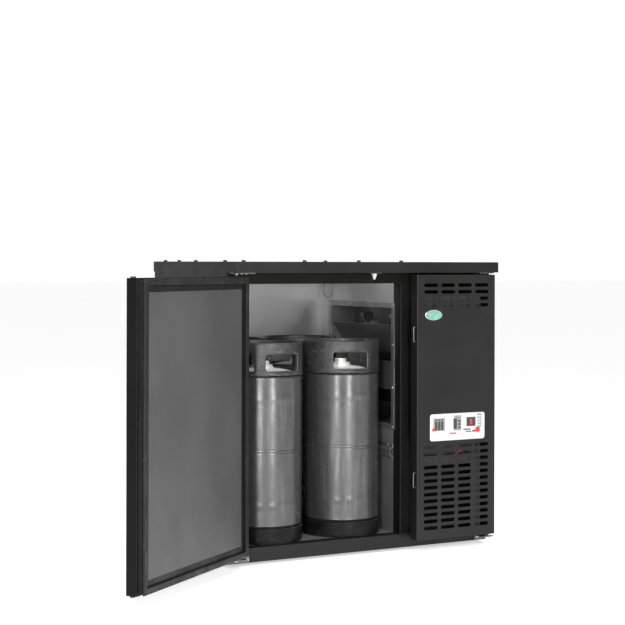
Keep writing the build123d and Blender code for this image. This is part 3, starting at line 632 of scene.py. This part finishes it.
def keg_head(axis_point, seed):
    """The domed head with its neck, and the spear valve: ring, ball seat and two lugs."""
    form = Form()
    dome = [(103.6, 543.4), (105.6, 545.4), (98, 549), (85, 553.2), (70, 556.6), (58, 559), (44, 560.8)]
    dome += [(35, 561.6), (32.2, 562.3), (31, 563.6), (31, 565.4), (30.6, 566), (29.5, 566), (29, 565.4)]
    dome += [(29, 560.2), (58, 557.3), (85, 551.4), (103, 542.4)]
    form.lathe(metres(dome), steps=120, close=True)
    valve = [(0.01, 561), (28.6, 561), (28.6, 571), (27.8, 572), (25, 572), (24.4, 571.4), (20, 571.4)]
    valve += [(18.4, 572.4), (18, 574), (18, 582), (17.2, 583), (13, 583), (12.2, 582.2), (12, 576)]
    valve += [(9.5, 574.8), (7, 576.6), (4, 577.6), (0.01, 578)]
    form.lathe(metres(valve), steps=64)
    for side in (0, math.pi):
        form.box(
            (19 * MM, -5 * MM, 571.5 * MM), (27 * MM, 5 * MM, 576 * MM), 1.2 * MM,
            Matrix.Rotation(side + 0.5 * seed, 4, "Z"),
        )
    bmesh.ops.translate(form.bm, verts=form.bm.verts, vec=axis_point)
    return form


def seam_angle(windows):
    """Where the collar's mesh starts: the middle of a pillar, clear of every window."""
    return windows[0][0] - 90 if len(windows) == 2 else windows[0][0] + 60


def collar_wall(form, windows):
    """The wall of the collar, cut by rounded hand windows with soft edges."""
    low, high = COLLAR_WALL
    window_low, window_high, corner, fillet = 558.0, 607.0, 7.0, 3.2
    mean = 112.5
    start_angle = seam_angle(windows)
    rows = [low + (high - low) * i / 8 for i in range(9)]
    spans = [(a, w / 2 / mean * 180 / math.pi) for a, w in windows]
    layers = []
    fillet_steps = 5
    for k in range(fillet_steps + 1):
        turn = math.pi / 2 * k / fillet_steps
        layers.append((fillet * (1 - math.sin(turn)), COLLAR_OUT - fillet * (1 - math.cos(turn))))
    inner_layers = [(grow, COLLAR_IN + (COLLAR_OUT - radius)) for grow, radius in layers][::-1]

    def outline(angle, width, grow):
        middle = (window_low + window_high) / 2
        points = rounded(width + 2 * grow, window_high - window_low + 2 * grow, corner + grow, 6)
        return [(angle + math.degrees(x / mean), middle + y) for x, y in points]

    def at(angle, height, radius):
        turn = math.radians(angle)
        return Vector((radius * math.cos(turn), radius * math.sin(turn), height)) * MM

    bm = form.bm
    for grow, radius in (layers[0], inner_layers[-1]):
        points, edges = [], []
        for i in range(int(360 / COLLAR_STEP) + 1):
            angle = start_angle + COLLAR_STEP * i
            for row in rows:
                inside = any(
                    abs((angle - a + 180) % 360 - 180) < half + 3.2 and window_low - 5 < row < window_high + 5
                    for a, half in spans
                )
                if not inside:
                    points.append((angle, row))
        holes = []
        for angle, width in windows:
            loop = outline(angle, width, grow)
            if min(x for x, _ in loop) < start_angle:
                loop = [(x + 360, y) for x, y in loop]
            first = len(points)
            points += loop
            edges += [(first + i, first + (i + 1) % len(loop)) for i in range(len(loop))]
            holes.append(loop)
        scaled = [Vector((x * 2, y)) for x, y in points]
        verts, _, faces, _, _, _ = delaunay_2d_cdt(scaled, edges, [], 0, 1e-6)
        made = [bm.verts.new(at(v.x / 2, v.y, radius)) for v in verts]
        for face in faces:
            x = sum(verts[i].x for i in face) / 3 / 2
            y = sum(verts[i].y for i in face) / 3
            hollow = False
            for loop in holes:
                hit = False
                for (x0, y0), (x1, y1) in zip(loop, loop[1:] + loop[:1]):
                    if (y0 > y) != (y1 > y) and x < x0 + (y - y0) * (x1 - x0) / (y1 - y0):
                        hit = not hit
                hollow = hollow or hit
            if not hollow:
                bm.faces.new([made[i] for i in face])
    for angle, width in windows:
        made = [
            [bm.verts.new(at(x, y, radius)) for x, y in outline(angle, width, grow)]
            for grow, radius in layers + inner_layers
        ]
        for inside, outside in zip(made, made[1:]):
            for i in range(len(inside)):
                j = (i + 1) % len(inside)
                bm.faces.new((inside[i], inside[j], outside[j], outside[i]))


def keg_collar(axis_point, windows):
    """Rubber collar with a beaded rim, hand windows and a bottom lip."""
    form = Form()
    low, high = COLLAR_WALL
    collar_wall(form, windows)
    turns = [math.radians(seam_angle(windows) + COLLAR_STEP * i) for i in range(int(360 / COLLAR_STEP))]

    def strip(profile):
        form.rings([
            [Vector((radius * math.cos(turn), radius * math.sin(turn), height)) * MM for turn in turns]
            for radius, height in profile
        ], caps=False)

    rim = [(COLLAR_OUT, high), (COLLAR_OUT, 622), (117.9, 630), *arc((113.4, 636.9), 4.5, 0, 90, 6)]
    rim += [*arc((111.6, 636.9), 4.5, 90, 180, 6), (107.1, 630), (COLLAR_IN, 622), (COLLAR_IN, high)]
    strip(rim)
    foot = [(COLLAR_IN, low), (COLLAR_IN, 547), *arc((109, 546.8), 1.8, 180, 270, 3)]
    foot += [*arc((116.2, 547), 1.9, 270, 360, 3), (118.1, 549), (118, 550.4), (COLLAR_OUT, low)]
    strip(foot)
    bmesh.ops.remove_doubles(form.bm, verts=form.bm.verts, dist=2e-5)
    bmesh.ops.recalc_face_normals(form.bm, faces=form.bm.faces)
    bmesh.ops.translate(form.bm, verts=form.bm.verts, vec=axis_point)
    return form


def keg_base_ring(axis_point):
    """The rubber ring that the keg stands on."""
    base = [*arc((109.5, 53.8), 2.4, 180, 270, 4), *arc((115.4, 53.9), 2.5, 270, 360, 4)]
    base += [(118, 60), (118, 88), *arc((115.6, 94.4), 2.4, 0, 90, 4), *arc((109.4, 94.6), 2.3, 90, 180, 4)]
    base += [(107.1, 88), (107.1, 60)]
    return Form().lathe(metres(base), Matrix.Translation(axis_point), 120, close=True)


for place, (windows, seed) in KEGS.items():
    keg = f"keg_{place}"
    keg_axis = upright(f"{keg}_steel")
    keg_shell(keg_axis, seed).done(f"{keg}_barrel", keg, "keg_steel", KEG_STEEL, [f"{keg}_steel"])
    keg_head(keg_axis, seed).done(f"{keg}_head", keg, "keg_steel", KEG_HEAD)
    keg_collar(keg_axis, windows).done(f"{keg}_collar", keg, "keg_rubber", KEG_RUBBER, [f"{keg}_rubber"])
    keg_base_ring(keg_axis).done(f"{keg}_base_ring", keg, "keg_rubber", BASE_RUBBER)

# ------------------------------------ door
DOOR_OPEN = -143
pin = Vector(JOINTS["door_hinge"]["pos_m"])
pin.z = 0
DOOR = Matrix.Translation(pin) @ Matrix.Rotation(math.radians(DOOR_OPEN), 4, "Z")
DOOR_X, DOOR_Z = (-9.0, 595.0), (38.0, 838.0)


def door_ring(form, profile):
    """Sweep a closed (inset, depth) profile round the door's outline with mitred corners."""
    loops = []
    for inset, depth in profile:
        x0, x1 = (DOOR_X[0] + inset) * MM, (DOOR_X[1] - inset) * MM
        z0, z1 = (DOOR_Z[0] + inset) * MM, (DOOR_Z[1] - inset) * MM
        y = depth * MM
        loops.append([Vector(p) for p in ((x0, y, z0), (x1, y, z0), (x1, y, z1), (x0, y, z1))])
    form.rings(loops, DOOR, close=True)


gasket = Form()
door_ring(gasket, [
    (4.5, 28.2), (5.2, 29.4), (7.0, 30.2), (7.4, 31.4), (4.2, 32.4), (2.6, 33.6), (2.2, 35.2),
    (2.8, 36.8), (4.6, 37.9), (8, 37.95), (14, 37.95), (17.4, 37.9), (19.2, 36.8), (19.8, 35.2),
    (19.4, 33.6), (17.8, 32.4), (15.6, 31.4), (16.2, 30.2), (18.6, 29.4), (19.4, 28.2),
])
gasket.done("door_seal", "door", "gasket", GASKET, ["door_gasket"], sharp=50)

# ------------------------------------ worktop plugs
# (right of the worktop's left edge, back from its front edge)
PLUGS = [(40, 30), (240, 30), (425, 30), (575, 30), (30, 130), (30, 330), (30, 450), (22, 535), (600, 535)]


def part(a, b, z):
    """A point a right of the worktop's left edge, b back from its front edge and z up, in millimetres."""
    low, _ = corners("worktop")
    return Vector((low.x + a * MM, low.y + b * MM, z * MM))


plugs = Form()
plug = [(0.01, 868), (6, 868), (6, 880.2), (5.9, 882), (5.2, 883.6), (3.9, 884.6), (2.2, 884.95), (0.01, 885)]
for a, b in PLUGS:
    plugs.lathe(metres(plug), Matrix.Translation(part(a, b, 0)), 32)
plugs.done("plug_caps", "cabinet", "plug_black", NYLON, ["worktop_plugs"])

# ------------------------------------ catch
nose = [(0.01, 827), (1.6, 827.3), (2.7, 828.4), (3.4, 830.5), (8.4, 843.5), (9, 846), (9, 853), (0.01, 853)]
Form().lathe(metres(nose), Matrix.Translation(upright("catch_plunger")), 48).done(
    "catch_nose", "catch_bolt", "white_plastic", WHITE, ["catch_plunger"]
)

# ------------------------------------ fans
def axial_fan(matrix, radius, hub, depth, blades, pitch, bore):
    """Hub and swept, twisted blades round Z of the given matrix."""
    form = Form()
    half = depth / 2
    rim = 0.12 * hub
    profile = [(bore, -half), (hub - rim, -half), (hub, -half + rim)]
    profile += [(hub, half - rim), (hub - rim, half), (bore, half)]
    form.lathe(metres(profile), matrix, 48, close=True)
    rows, cols = 9, 9
    for blade in range(blades):
        top, bottom = [], []
        for i in range(rows):
            share = i / (rows - 1)
            r = hub - 0.8 + (radius - hub + 0.8) * share
            tilt = math.radians(pitch * (1 - 0.45 * share))
            width = (TAU * r / blades) * (0.62 - 0.04 * share)
            lead = TAU * blade / blades + 0.32 * share ** 1.5
            for j in range(cols):
                s = j / (cols - 1) - 0.5
                edge = 1 - 0.25 * max(0.0, share - 0.75) * 4 * abs(s)
                across = s * width * math.cos(tilt) * edge
                rise = s * width * math.sin(tilt) * edge + 0.06 * width * (0.25 - s * s) * 4
                rise = max(-half * 0.98, min(half * 0.98, rise))
                turn = lead + across / r
                reach = r - 0.03 * radius * max(0.0, share - 0.9) * 10 * (2 * s) ** 2
                thick = 0.8 * (1 - (2 * s) ** 2 * 0.7)
                point = Vector((reach * math.cos(turn), reach * math.sin(turn), rise))
                top.append((point + Vector((0, 0, thick))) * MM)
                bottom.append((point - Vector((0, 0, thick))) * MM)
        bm = bmesh.new()
        upper = [bm.verts.new(p) for p in top]
        lower = [bm.verts.new(p) for p in bottom]
        for i in range(rows - 1):
            for j in range(cols - 1):
                a, b, c, d = i * cols + j, i * cols + j + 1, (i + 1) * cols + j + 1, (i + 1) * cols + j
                bm.faces.new((upper[a], upper[b], upper[c], upper[d]))
                bm.faces.new((lower[d], lower[c], lower[b], lower[a]))
        border = [*range(cols)] + [i * cols + cols - 1 for i in range(1, rows)]
        border += [(rows - 1) * cols + j for j in range(cols - 2, -1, -1)]
        border += [i * cols for i in range(rows - 2, 0, -1)]
        for a, b in zip(border, border[1:] + border[:1]):
            bm.faces.new((upper[b], upper[a], lower[a], lower[b]))
        bmesh.ops.recalc_face_normals(bm, faces=bm.faces)
        form.take(bm, matrix)
    return form


def facing(centre, axis):
    """Move Z to an axis through a centre."""
    return Matrix.Translation(centre) @ Vector(axis).to_track_quat("Z", "Y").to_matrix().to_4x4()


GUARD_RINGS, GUARD_WIRE_RADIUS = (53, 46, 39, 32, 25, 18), 1.05 * MM
guards, fan_bolts = Form(), Form()
guard_low, _ = corners("fan_guards")
for end in ("front", "rear"):
    low, high = corners(f"evaporator_fan_{end}")
    hub_at = (low + high) / 2
    rotor = f"evaporator_rotor_{end}"
    axial_fan(facing(hub_at, (1, 0, 0)), 51.5, 19, 13, 7, 42, 3.1).done(
        rotor, rotor, "fan_black", FAN_BLACK, [f"evaporator_fan_{end}"]
    )
    guard_at = Vector((guard_low.x + 1.2 * MM, hub_at.y, hub_at.z))
    for radius in GUARD_RINGS:
        guards.ring(guard_at, (1, 0, 0), radius * MM, GUARD_WIRE_RADIUS)
    guards.lathe(
        [(0.01, -0.8 * MM), (11 * MM, -0.8 * MM), (12 * MM, 0), (11 * MM, 0.9 * MM), (0.01, 1.1 * MM)],
        facing(guard_at, (-1, 0, 0)), 32,
    )
    for quarter in range(4):
        angle = math.radians(45 + 90 * quarter)
        spoke = Vector((0, math.cos(angle), math.sin(angle)))
        guards.tube([guard_at + spoke * 10 * MM, guard_at + spoke * 57 * MM], GUARD_WIRE_RADIUS, 8)
        eye = guard_at + spoke * 61 * MM
        guards.ring(eye, (1, 0, 0), 3.6 * MM, GUARD_WIRE_RADIUS, 24)
        fan_bolts.screw(eye + Vector((0.4 * MM, 0, 0)), (-1, 0, 0), 3.0 * MM, 1.5 * MM)
guards.done("finger_guards", "cabinet", "black_steel", GUARD_WIRE, ["fan_guards"])
fan_bolts.done("fan_screws", "cabinet", "zinc", SCREW)

condenser_hub = Vector(JOINTS["condenser_fan_spin"]["pos_m"])
axial_fan(facing(condenser_hub, (0, 1, 0)), 83, 22, 21, 5, 38, 4.1).done(
    "condenser_blades", "condenser_rotor", "aluminium", ALUMINIUM, ["condenser_fan"]
)

# ------------------------------------ finned coils


def fin_pack(low, high, pitch, across, tubes, inset):
    """Thin fins stacked along X or Y, threaded on straight tubes."""
    form = Form()
    along = 1 - across
    first, last = low[along] + inset, high[along] - inset
    count = int((last - first) / pitch)
    for i in range(count + 1):
        centre = first + (last - first) * i / count
        a, b = Vector(low), Vector(high)
        a[along], b[along] = centre - 0.25 * MM, centre + 0.25 * MM
        form.box(a, b)
    for depth, height in tubes:
        start, stop = Vector((0, 0, height)), Vector((0, 0, height))
        start[across] = stop[across] = depth
        start[along], stop[along] = low[along] + 2 * MM, high[along] - 2 * MM
        form.tube([start, stop], 3.6 * MM, 12)
    return form


low, high = corners("evaporator_coil")
tube_rows = [
    (low.x + (0.16 + 0.34 * column) * (high.x - low.x), low.z + (0.14 + 0.24 * row) * (high.z - low.z))
    for column in range(3) for row in range(4)
]
fin_pack(low, high, 4.2 * MM, 0, tube_rows, 6 * MM).done(
    "evaporator_fins", "cabinet", "black_fins", FINS, ["evaporator_coil"]
)
low, high = corners("condenser_coil")
core_low = Vector((low.x, low.y, 70 * MM))
tube_rows = [
    (
        low.y + (0.25 + 0.5 * column) * (high.y - low.y),
        core_low.z + (0.08 + 0.14 * row) * (high.z - core_low.z),
    )
    for column in range(2) for row in range(7)
]
condenser = fin_pack(core_low, high, 3.2 * MM, 1, tube_rows, 7 * MM)
for x in (low.x, high.x - 6 * MM):
    condenser.box((x, low.y, core_low.z), (x + 6 * MM, high.y, high.z), 0.8 * MM)
for y in (low.y + 4 * MM, high.y - 7 * MM):
    condenser.box((low.x + 10 * MM, y, low.z), (high.x - 10 * MM, y + 3 * MM, core_low.z), 0.8 * MM)
condenser.done("condenser_fins", "cabinet", "black_fins", FINS, ["condenser_coil"])

# ------------------------------------ compressor and drier
pot_at = upright("compressor")
pot = Form()
shell = [(0.01, 27), (56, 27), (70, 31), (77, 40), (79, 52), (79.6, 92), (80, 94), (80, 99), (79.4, 100.5)]
shell += [(76.5, 101), (76, 128), (74, 146), (68, 161), (57, 170), (40, 175.4), (20, 177), (0.01, 177)]
pot.lathe(metres(shell), Matrix.Translation(pot_at) @ Matrix.Diagonal((1, 0.85, 1, 1)), 96)
for x0, x1, reach, z0, z1, bevel in ((-94, 94, 74, 24, 27, 0.9), (62, 92, 24, 62, 118, 5)):
    pot.box(
        (pot_at.x + x0 * MM, pot_at.y - reach * MM, z0 * MM),
        (pot_at.x + x1 * MM, pot_at.y + reach * MM, z1 * MM), bevel * MM,
    )
grommet = [(4, 11), (10.5, 11), (11, 12), (11, 15), (8.5, 16.5), (8.5, 19), (11, 20), (11, 23.8), (4, 24)]
for sx in (-80, 80):
    for sy in (-60, 60):
        spot = pot_at + Vector((sx * MM, sy * MM, 0))
        pot.lathe(metres(grommet), Matrix.Translation(spot), 24, close=True)
pot.done("compressor_pot", "cabinet", "compressor_black", POT, ["compressor"])
bottle = [(0.01, 52), (4, 52), (4, 60), (6, 62), (10.5, 68), (12, 73), (12, 157), (10.5, 162)]
bottle += [(6, 168), (4, 170), (4, 178), (0.01, 178)]
Form().lathe(metres(bottle), Matrix.Translation(upright("filter_drier")), 40).done(
    "drier_bottle", "cabinet", "copper", COPPER, ["filter_drier"]
)

# ------------------------------------ thermostat knob
knob_at = Vector(JOINTS["thermostat_turn"]["pos_m"])
knob_front = corners("thermostat_knob")[0].y - knob_at.y
KNOB_RADIUS, KNOB_DEPTH = 16 * MM, 13.5 * MM
knob = Form()
flutes, ring_steps = 12, 96
knob_loops = []
for share, depth in ((0.2, 0.0), (0.86, 0.0), (0.95, 0.08), (1.0, 0.2), (1.0, 0.9), (0.96, 1.0), (0.2, 1.0)):
    loop = []
    for i in range(ring_steps):
        angle = TAU * i / ring_steps
        grip = 1 - 0.05 * (0.5 + 0.5 * math.cos(flutes * angle)) if 0.1 < depth < 0.95 else 1
        reach = KNOB_RADIUS * share * grip
        level = knob_front + depth * KNOB_DEPTH
        loop.append(Vector((reach * math.cos(angle), level, reach * math.sin(angle))))
    knob_loops.append(loop)
knob.rings(knob_loops, Matrix.Translation(knob_at))
knob.box(
    knob_at + Vector((-1 * MM, knob_front, 4 * MM)),
    knob_at + Vector((1 * MM, knob_front + 0.8 * MM, 15 * MM)), 0.3 * MM,
)
knob.lathe(
    [(0.01, 0), (2.95 * MM, 0), (2.95 * MM, 12 * MM), (0.01, 12 * MM)],
    facing(knob_at + Vector((0, -2 * MM, 0)), (0, 1, 0)), 24,
)
knob.done("thermostat_dial", "knob", "knob_black", KNOB, ["thermostat_knob"])

# ------------------------------------ badge and control label
FRONT = Matrix.Rotation(math.radians(90), 4, "X")   # plate outlines in x and z, thickness towards the front
low, high = corners("badge")
badge_at = (low + high) / 2
badge_at.y = high.y
BADGE_HALF = (31, 15.75)


def oval(levels, height):
    """Nested ovals on the service panel: shares of the badge's half sizes against shares of a height."""
    form = Form()
    steps = 72
    form.rings([
        [
            Vector((
                BADGE_HALF[0] * share * math.cos(TAU * i / steps), -height * level,
                BADGE_HALF[1] * share * math.sin(TAU * i / steps),
            )) * MM
            for i in range(steps)
        ]
        for share, level in levels
    ], Matrix.Translation(badge_at))
    return form


oval([(1.0, 0.0), (1.0, 0.45), (0.985, 0.75), (0.95, 0.9), (0.93, 0.8)], 1.4).done(
    "badge_rim", "service_door", "badge", CHROME_RIM, ["badge"]
)
oval([(0.925, 0.5), (0.925, 0.8), (0.9, 0.92), (0.8, 1.0), (0.6, 1.05), (0.3, 1.08), (0.02, 1.09)], 1.3).done(
    "badge_face", "service_door", "badge", RESIN
)

label_low, high = corners("control_label")
label_mid = (label_low + high) / 2
label_mid.y = high.y
outline = rounded(high.x - label_low.x, high.z - label_low.z, 8 * MM, 8)
Form().plate(outline, 0, 0.7 * MM, Matrix.Translation(label_mid) @ FRONT, 0.2 * MM).done(
    "label_plate", "service_door", "label", LABEL, ["control_label"]
)
INKS = {"dark": INK_DARK, "grey": INK_GREY, "red": INK_RED, "pale": LABEL}
marks = {kind: Form() for kind in INKS}


def mark(kind, x, z, outline, level=0):
    """A printed shape on the label, x and z in millimetres from its lower left corner."""
    spot = Vector((label_low.x + x * MM, label_mid.y, label_low.z + z * MM))
    base = (0.68 + 0.03 * level) * MM
    marks[kind].plate(metres(outline), base, base + 0.06 * MM, Matrix.Translation(spot) @ FRONT)


# a closed grille, an open one and a dark screen with red figures
mark("grey", 33, 51, rounded(42, 42, 3))
mark("pale", 33, 70, rounded(34, 3, 1), 1)
for x in (22, 33, 44):
    mark("dark", x, 46, rounded(9, 27, 1), 1)
    mark("dark", x, 64, rounded(9, 4, 1), 1)
mark("grey", 101, 52, rounded(27, 46, 2))
mark("dark", 92, 50, rounded(13, 32, 1), 1)
for z in (38, 48, 58):
    mark("dark", 107, z, rounded(9, 6, 1), 1)
mark("dark", 151, 54, rounded(34, 28, 2))
mark("red", 151, 54, rounded(8, 17, 2), 1)
# a column of small cells, arrows and a plug outline
mark("grey", 183, 57, rounded(14, 42, 2))
for z in (43, 52, 61, 70):
    mark("pale", 183, z, rounded(9, 5, 1), 1)
mark("red", 13, 37, [(-8, -7), (8, -7), (0, 8)], 2)
mark("red", 176, 29, arc((0, 0), 9, 0, 330, 20), 2)
mark("red", 162, 25, rounded(14, 7, 3), 2)
mark("red", 84, 21, rounded(24, 4, 2), 2)
mark("dark", 136, 31, rounded(28, 4, 2), 2)
mark("dark", 142, 24, rounded(22, 3, 1.5), 2)
for kind, form in marks.items():
    form.done(f"label_{kind}", "service_door", "label", INKS[kind])

# ------------------------------------ screws, bolts and trim details
screws = Form()
low, high = corners("evaporator_frame")
for i in range(4):
    y = low.y + 8 * MM + (high.y - low.y - 16 * MM) * i / 3
    for z in (low.z + 8 * MM, high.z - 8 * MM):
        screws.screw((low.x, y, z), (-1, 0, 0), 3.6 * MM, 1.6 * MM)
for y in (low.y + 8 * MM, high.y - 8 * MM):
    for z in (low.z + 130 * MM, low.z + 260 * MM):
        screws.screw((low.x, y, z), (-1, 0, 0), 3.6 * MM, 1.6 * MM)
low, high = corners("bumper_rail")
for i in range(4):
    y = low.y + 25 * MM + (high.y - low.y - 50 * MM) * i / 3
    screws.screw((high.x - 1.5 * MM, y, high.z - 5 * MM), (-1, 0, 0), 3.4 * MM, 1.8 * MM)
low, high = corners("back_panel")
for x in (low.x + 14 * MM, (low.x + high.x) / 2, high.x - 14 * MM):
    for i in range(6):
        z = low.z + 20 * MM + (high.z - low.z - 40 * MM) * i / 5
        screws.screw((x, high.y, z), (0, 1, 0), 3.6 * MM, 1.8 * MM)
for a in (18, 34, 50):
    screws.screw(part(a, 32, 845), (0, 0, -1), 3.4 * MM, 2.0 * MM)
for a in (862, 876, 890):
    screws.screw(part(a, 40, 845), (0, 0, -1), 3.4 * MM, 2.0 * MM)
for a in (56, 66, 872, 890):
    screws.screw(part(a, 52, 20), (0, -1, 0), 4.0 * MM, 2.4 * MM)
screws.done("cabinet_screws", "cabinet", "zinc", SCREW)
frame_low, _ = corners("evaporator_frame")
knock_out = Form()
knock_out.ring((frame_low.x + 1.2 * MM, part(0, 497, 0).y, 792 * MM), (1, 0, 0), 30 * MM, 0.8 * MM)
knock_out.done("knock_out", "cabinet", "room_lining", AIR_STEEL)

# ------------------------------------ levelling feet
for corner in ("front_left", "front_right", "rear_left", "rear_right"):
    foot_at = upright(f"foot_{corner}")
    foot = Form()
    pad = [(0.01, 0.0), (17, 0.0), (19.2, 0.5), (20, 1.6), (20, 2.8), (19.2, 3.8), (16, 4.8)]
    pad += [(11, 5.4), (0.01, 5.4)]
    foot.lathe(metres(pad), Matrix.Translation(foot_at), 64)
    foot.plate(circle(9 * MM, 6), 5.2 * MM, 8.6 * MM, Matrix.Translation(foot_at), 0.5 * MM)
    thread = [(0.01, 8)]
    z = 8.2
    while z < 41:
        thread += [(4.9, z), (4.35, z + 0.6)]
        z += 1.25
    thread += [(4.3, 41.6), (0.01, 42)]
    foot.lathe(metres(thread), Matrix.Translation(foot_at), 32)
    foot.done(f"leveller_{corner}", f"levelling_{corner}", "foot_grey", NYLON, [f"foot_{corner}"])

# ------------------------------------ studio
stage_mat = Paint("studio_floor", 0.97, roughness=0.9, Specular_IOR_Level=0.2, Emission_Strength=0.5)
stage_mat.shader.inputs["Emission Color"].default_value = (1, 1, 1, 1)
stage_mat.tint(stage_mat.remap(stage_mat.noise(2, detail=2), 0.3, 0.7, 0.0, 0.3), 0.96)
FLOOR_HALF, FLOOR_DROP = 60, 0.0005
bm = bmesh.new()
bmesh.ops.create_grid(bm, x_segments=1, y_segments=1, size=FLOOR_HALF)
floor_mesh = bpy.data.meshes.new("studio_floor")
bm.to_mesh(floor_mesh)
bm.free()
floor_mesh.materials.append(stage_mat.material)
floor = bpy.data.objects.new("studio_floor", floor_mesh)
floor.location.z = -FLOOR_DROP
bpy.context.scene.collection.objects.link(floor)
floor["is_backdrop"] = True

world = bpy.data.worlds.new("studio")
bpy.context.scene.world = world
world.use_nodes = True
sky_nodes, sky_links = world.node_tree.nodes, world.node_tree.links
# the camera sees clean white paper, while the light that the sky gives is dimmer
seen = sky_nodes["Background"]
seen.inputs["Color"].default_value = (1, 1, 1, 1)
seen.inputs["Strength"].default_value = 1.02
lighting = sky_nodes.new("ShaderNodeBackground")
lighting.inputs["Strength"].default_value = 0.6
choose = sky_nodes.new("ShaderNodeMixShader")
sky_links.new(sky_nodes.new("ShaderNodeLightPath").outputs["Is Camera Ray"], choose.inputs[0])
sky_links.new(lighting.outputs[0], choose.inputs[1])
sky_links.new(seen.outputs[0], choose.inputs[2])
sky_links.new(choose.outputs[0], sky_nodes["World Output"].inputs["Surface"])


def softbox(name, at, target, width, height, power):
    """A rectangular soft light aimed at a point."""
    light = bpy.data.lights.new(name, "AREA")
    light.shape = "RECTANGLE"
    light.size, light.size_y, light.energy = width, height, power
    lamp = bpy.data.objects.new(name, light)
    lamp.location = at
    lamp.rotation_euler = (Vector(target) - Vector(at)).to_track_quat("-Z", "Y").to_euler()
    bpy.context.scene.collection.objects.link(lamp)
    return lamp


CABINET_MIDDLE = (0.3, 0.0, 0.5)
softbox("key_left", (-1.634, -2.312, 1.3), CABINET_MIDDLE, 0.2, 2.6, 54).visible_camera = False
softbox("front_strip", (0.12, -2.8, 1.3), CABINET_MIDDLE, 0.22, 2.6, 54)
softbox("room_strip", (0.27, -0.05, 0.843), (0.3, 0.15, 0.5), 0.42, 0.03, 0.95).visible_camera = False
softbox("room_corner", (0.38, -0.05, 0.838), (0.56, 0.05, 0.74), 0.1, 0.03, 0.75).visible_camera = False
softbox("overhead", (0.4, -0.6, 3.4), CABINET_MIDDLE, 3.0, 2.4, 60)

camera = bpy.data.cameras.new("camera")
camera.sensor_width = 36
camera.lens = 92.22
camera.shift_y = -0.0802
camera.clip_end = 200
viewer = bpy.data.objects.new("camera", camera)
viewer.location = (-2.124, -4.2183, 0.8782)
viewer.rotation_euler = (math.radians(90), math.radians(-0.13), math.radians(-29.36))
bpy.context.scene.collection.objects.link(viewer)
bpy.context.scene.camera = viewer
bpy.context.scene.view_settings.view_transform = "Standard"

low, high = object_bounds()
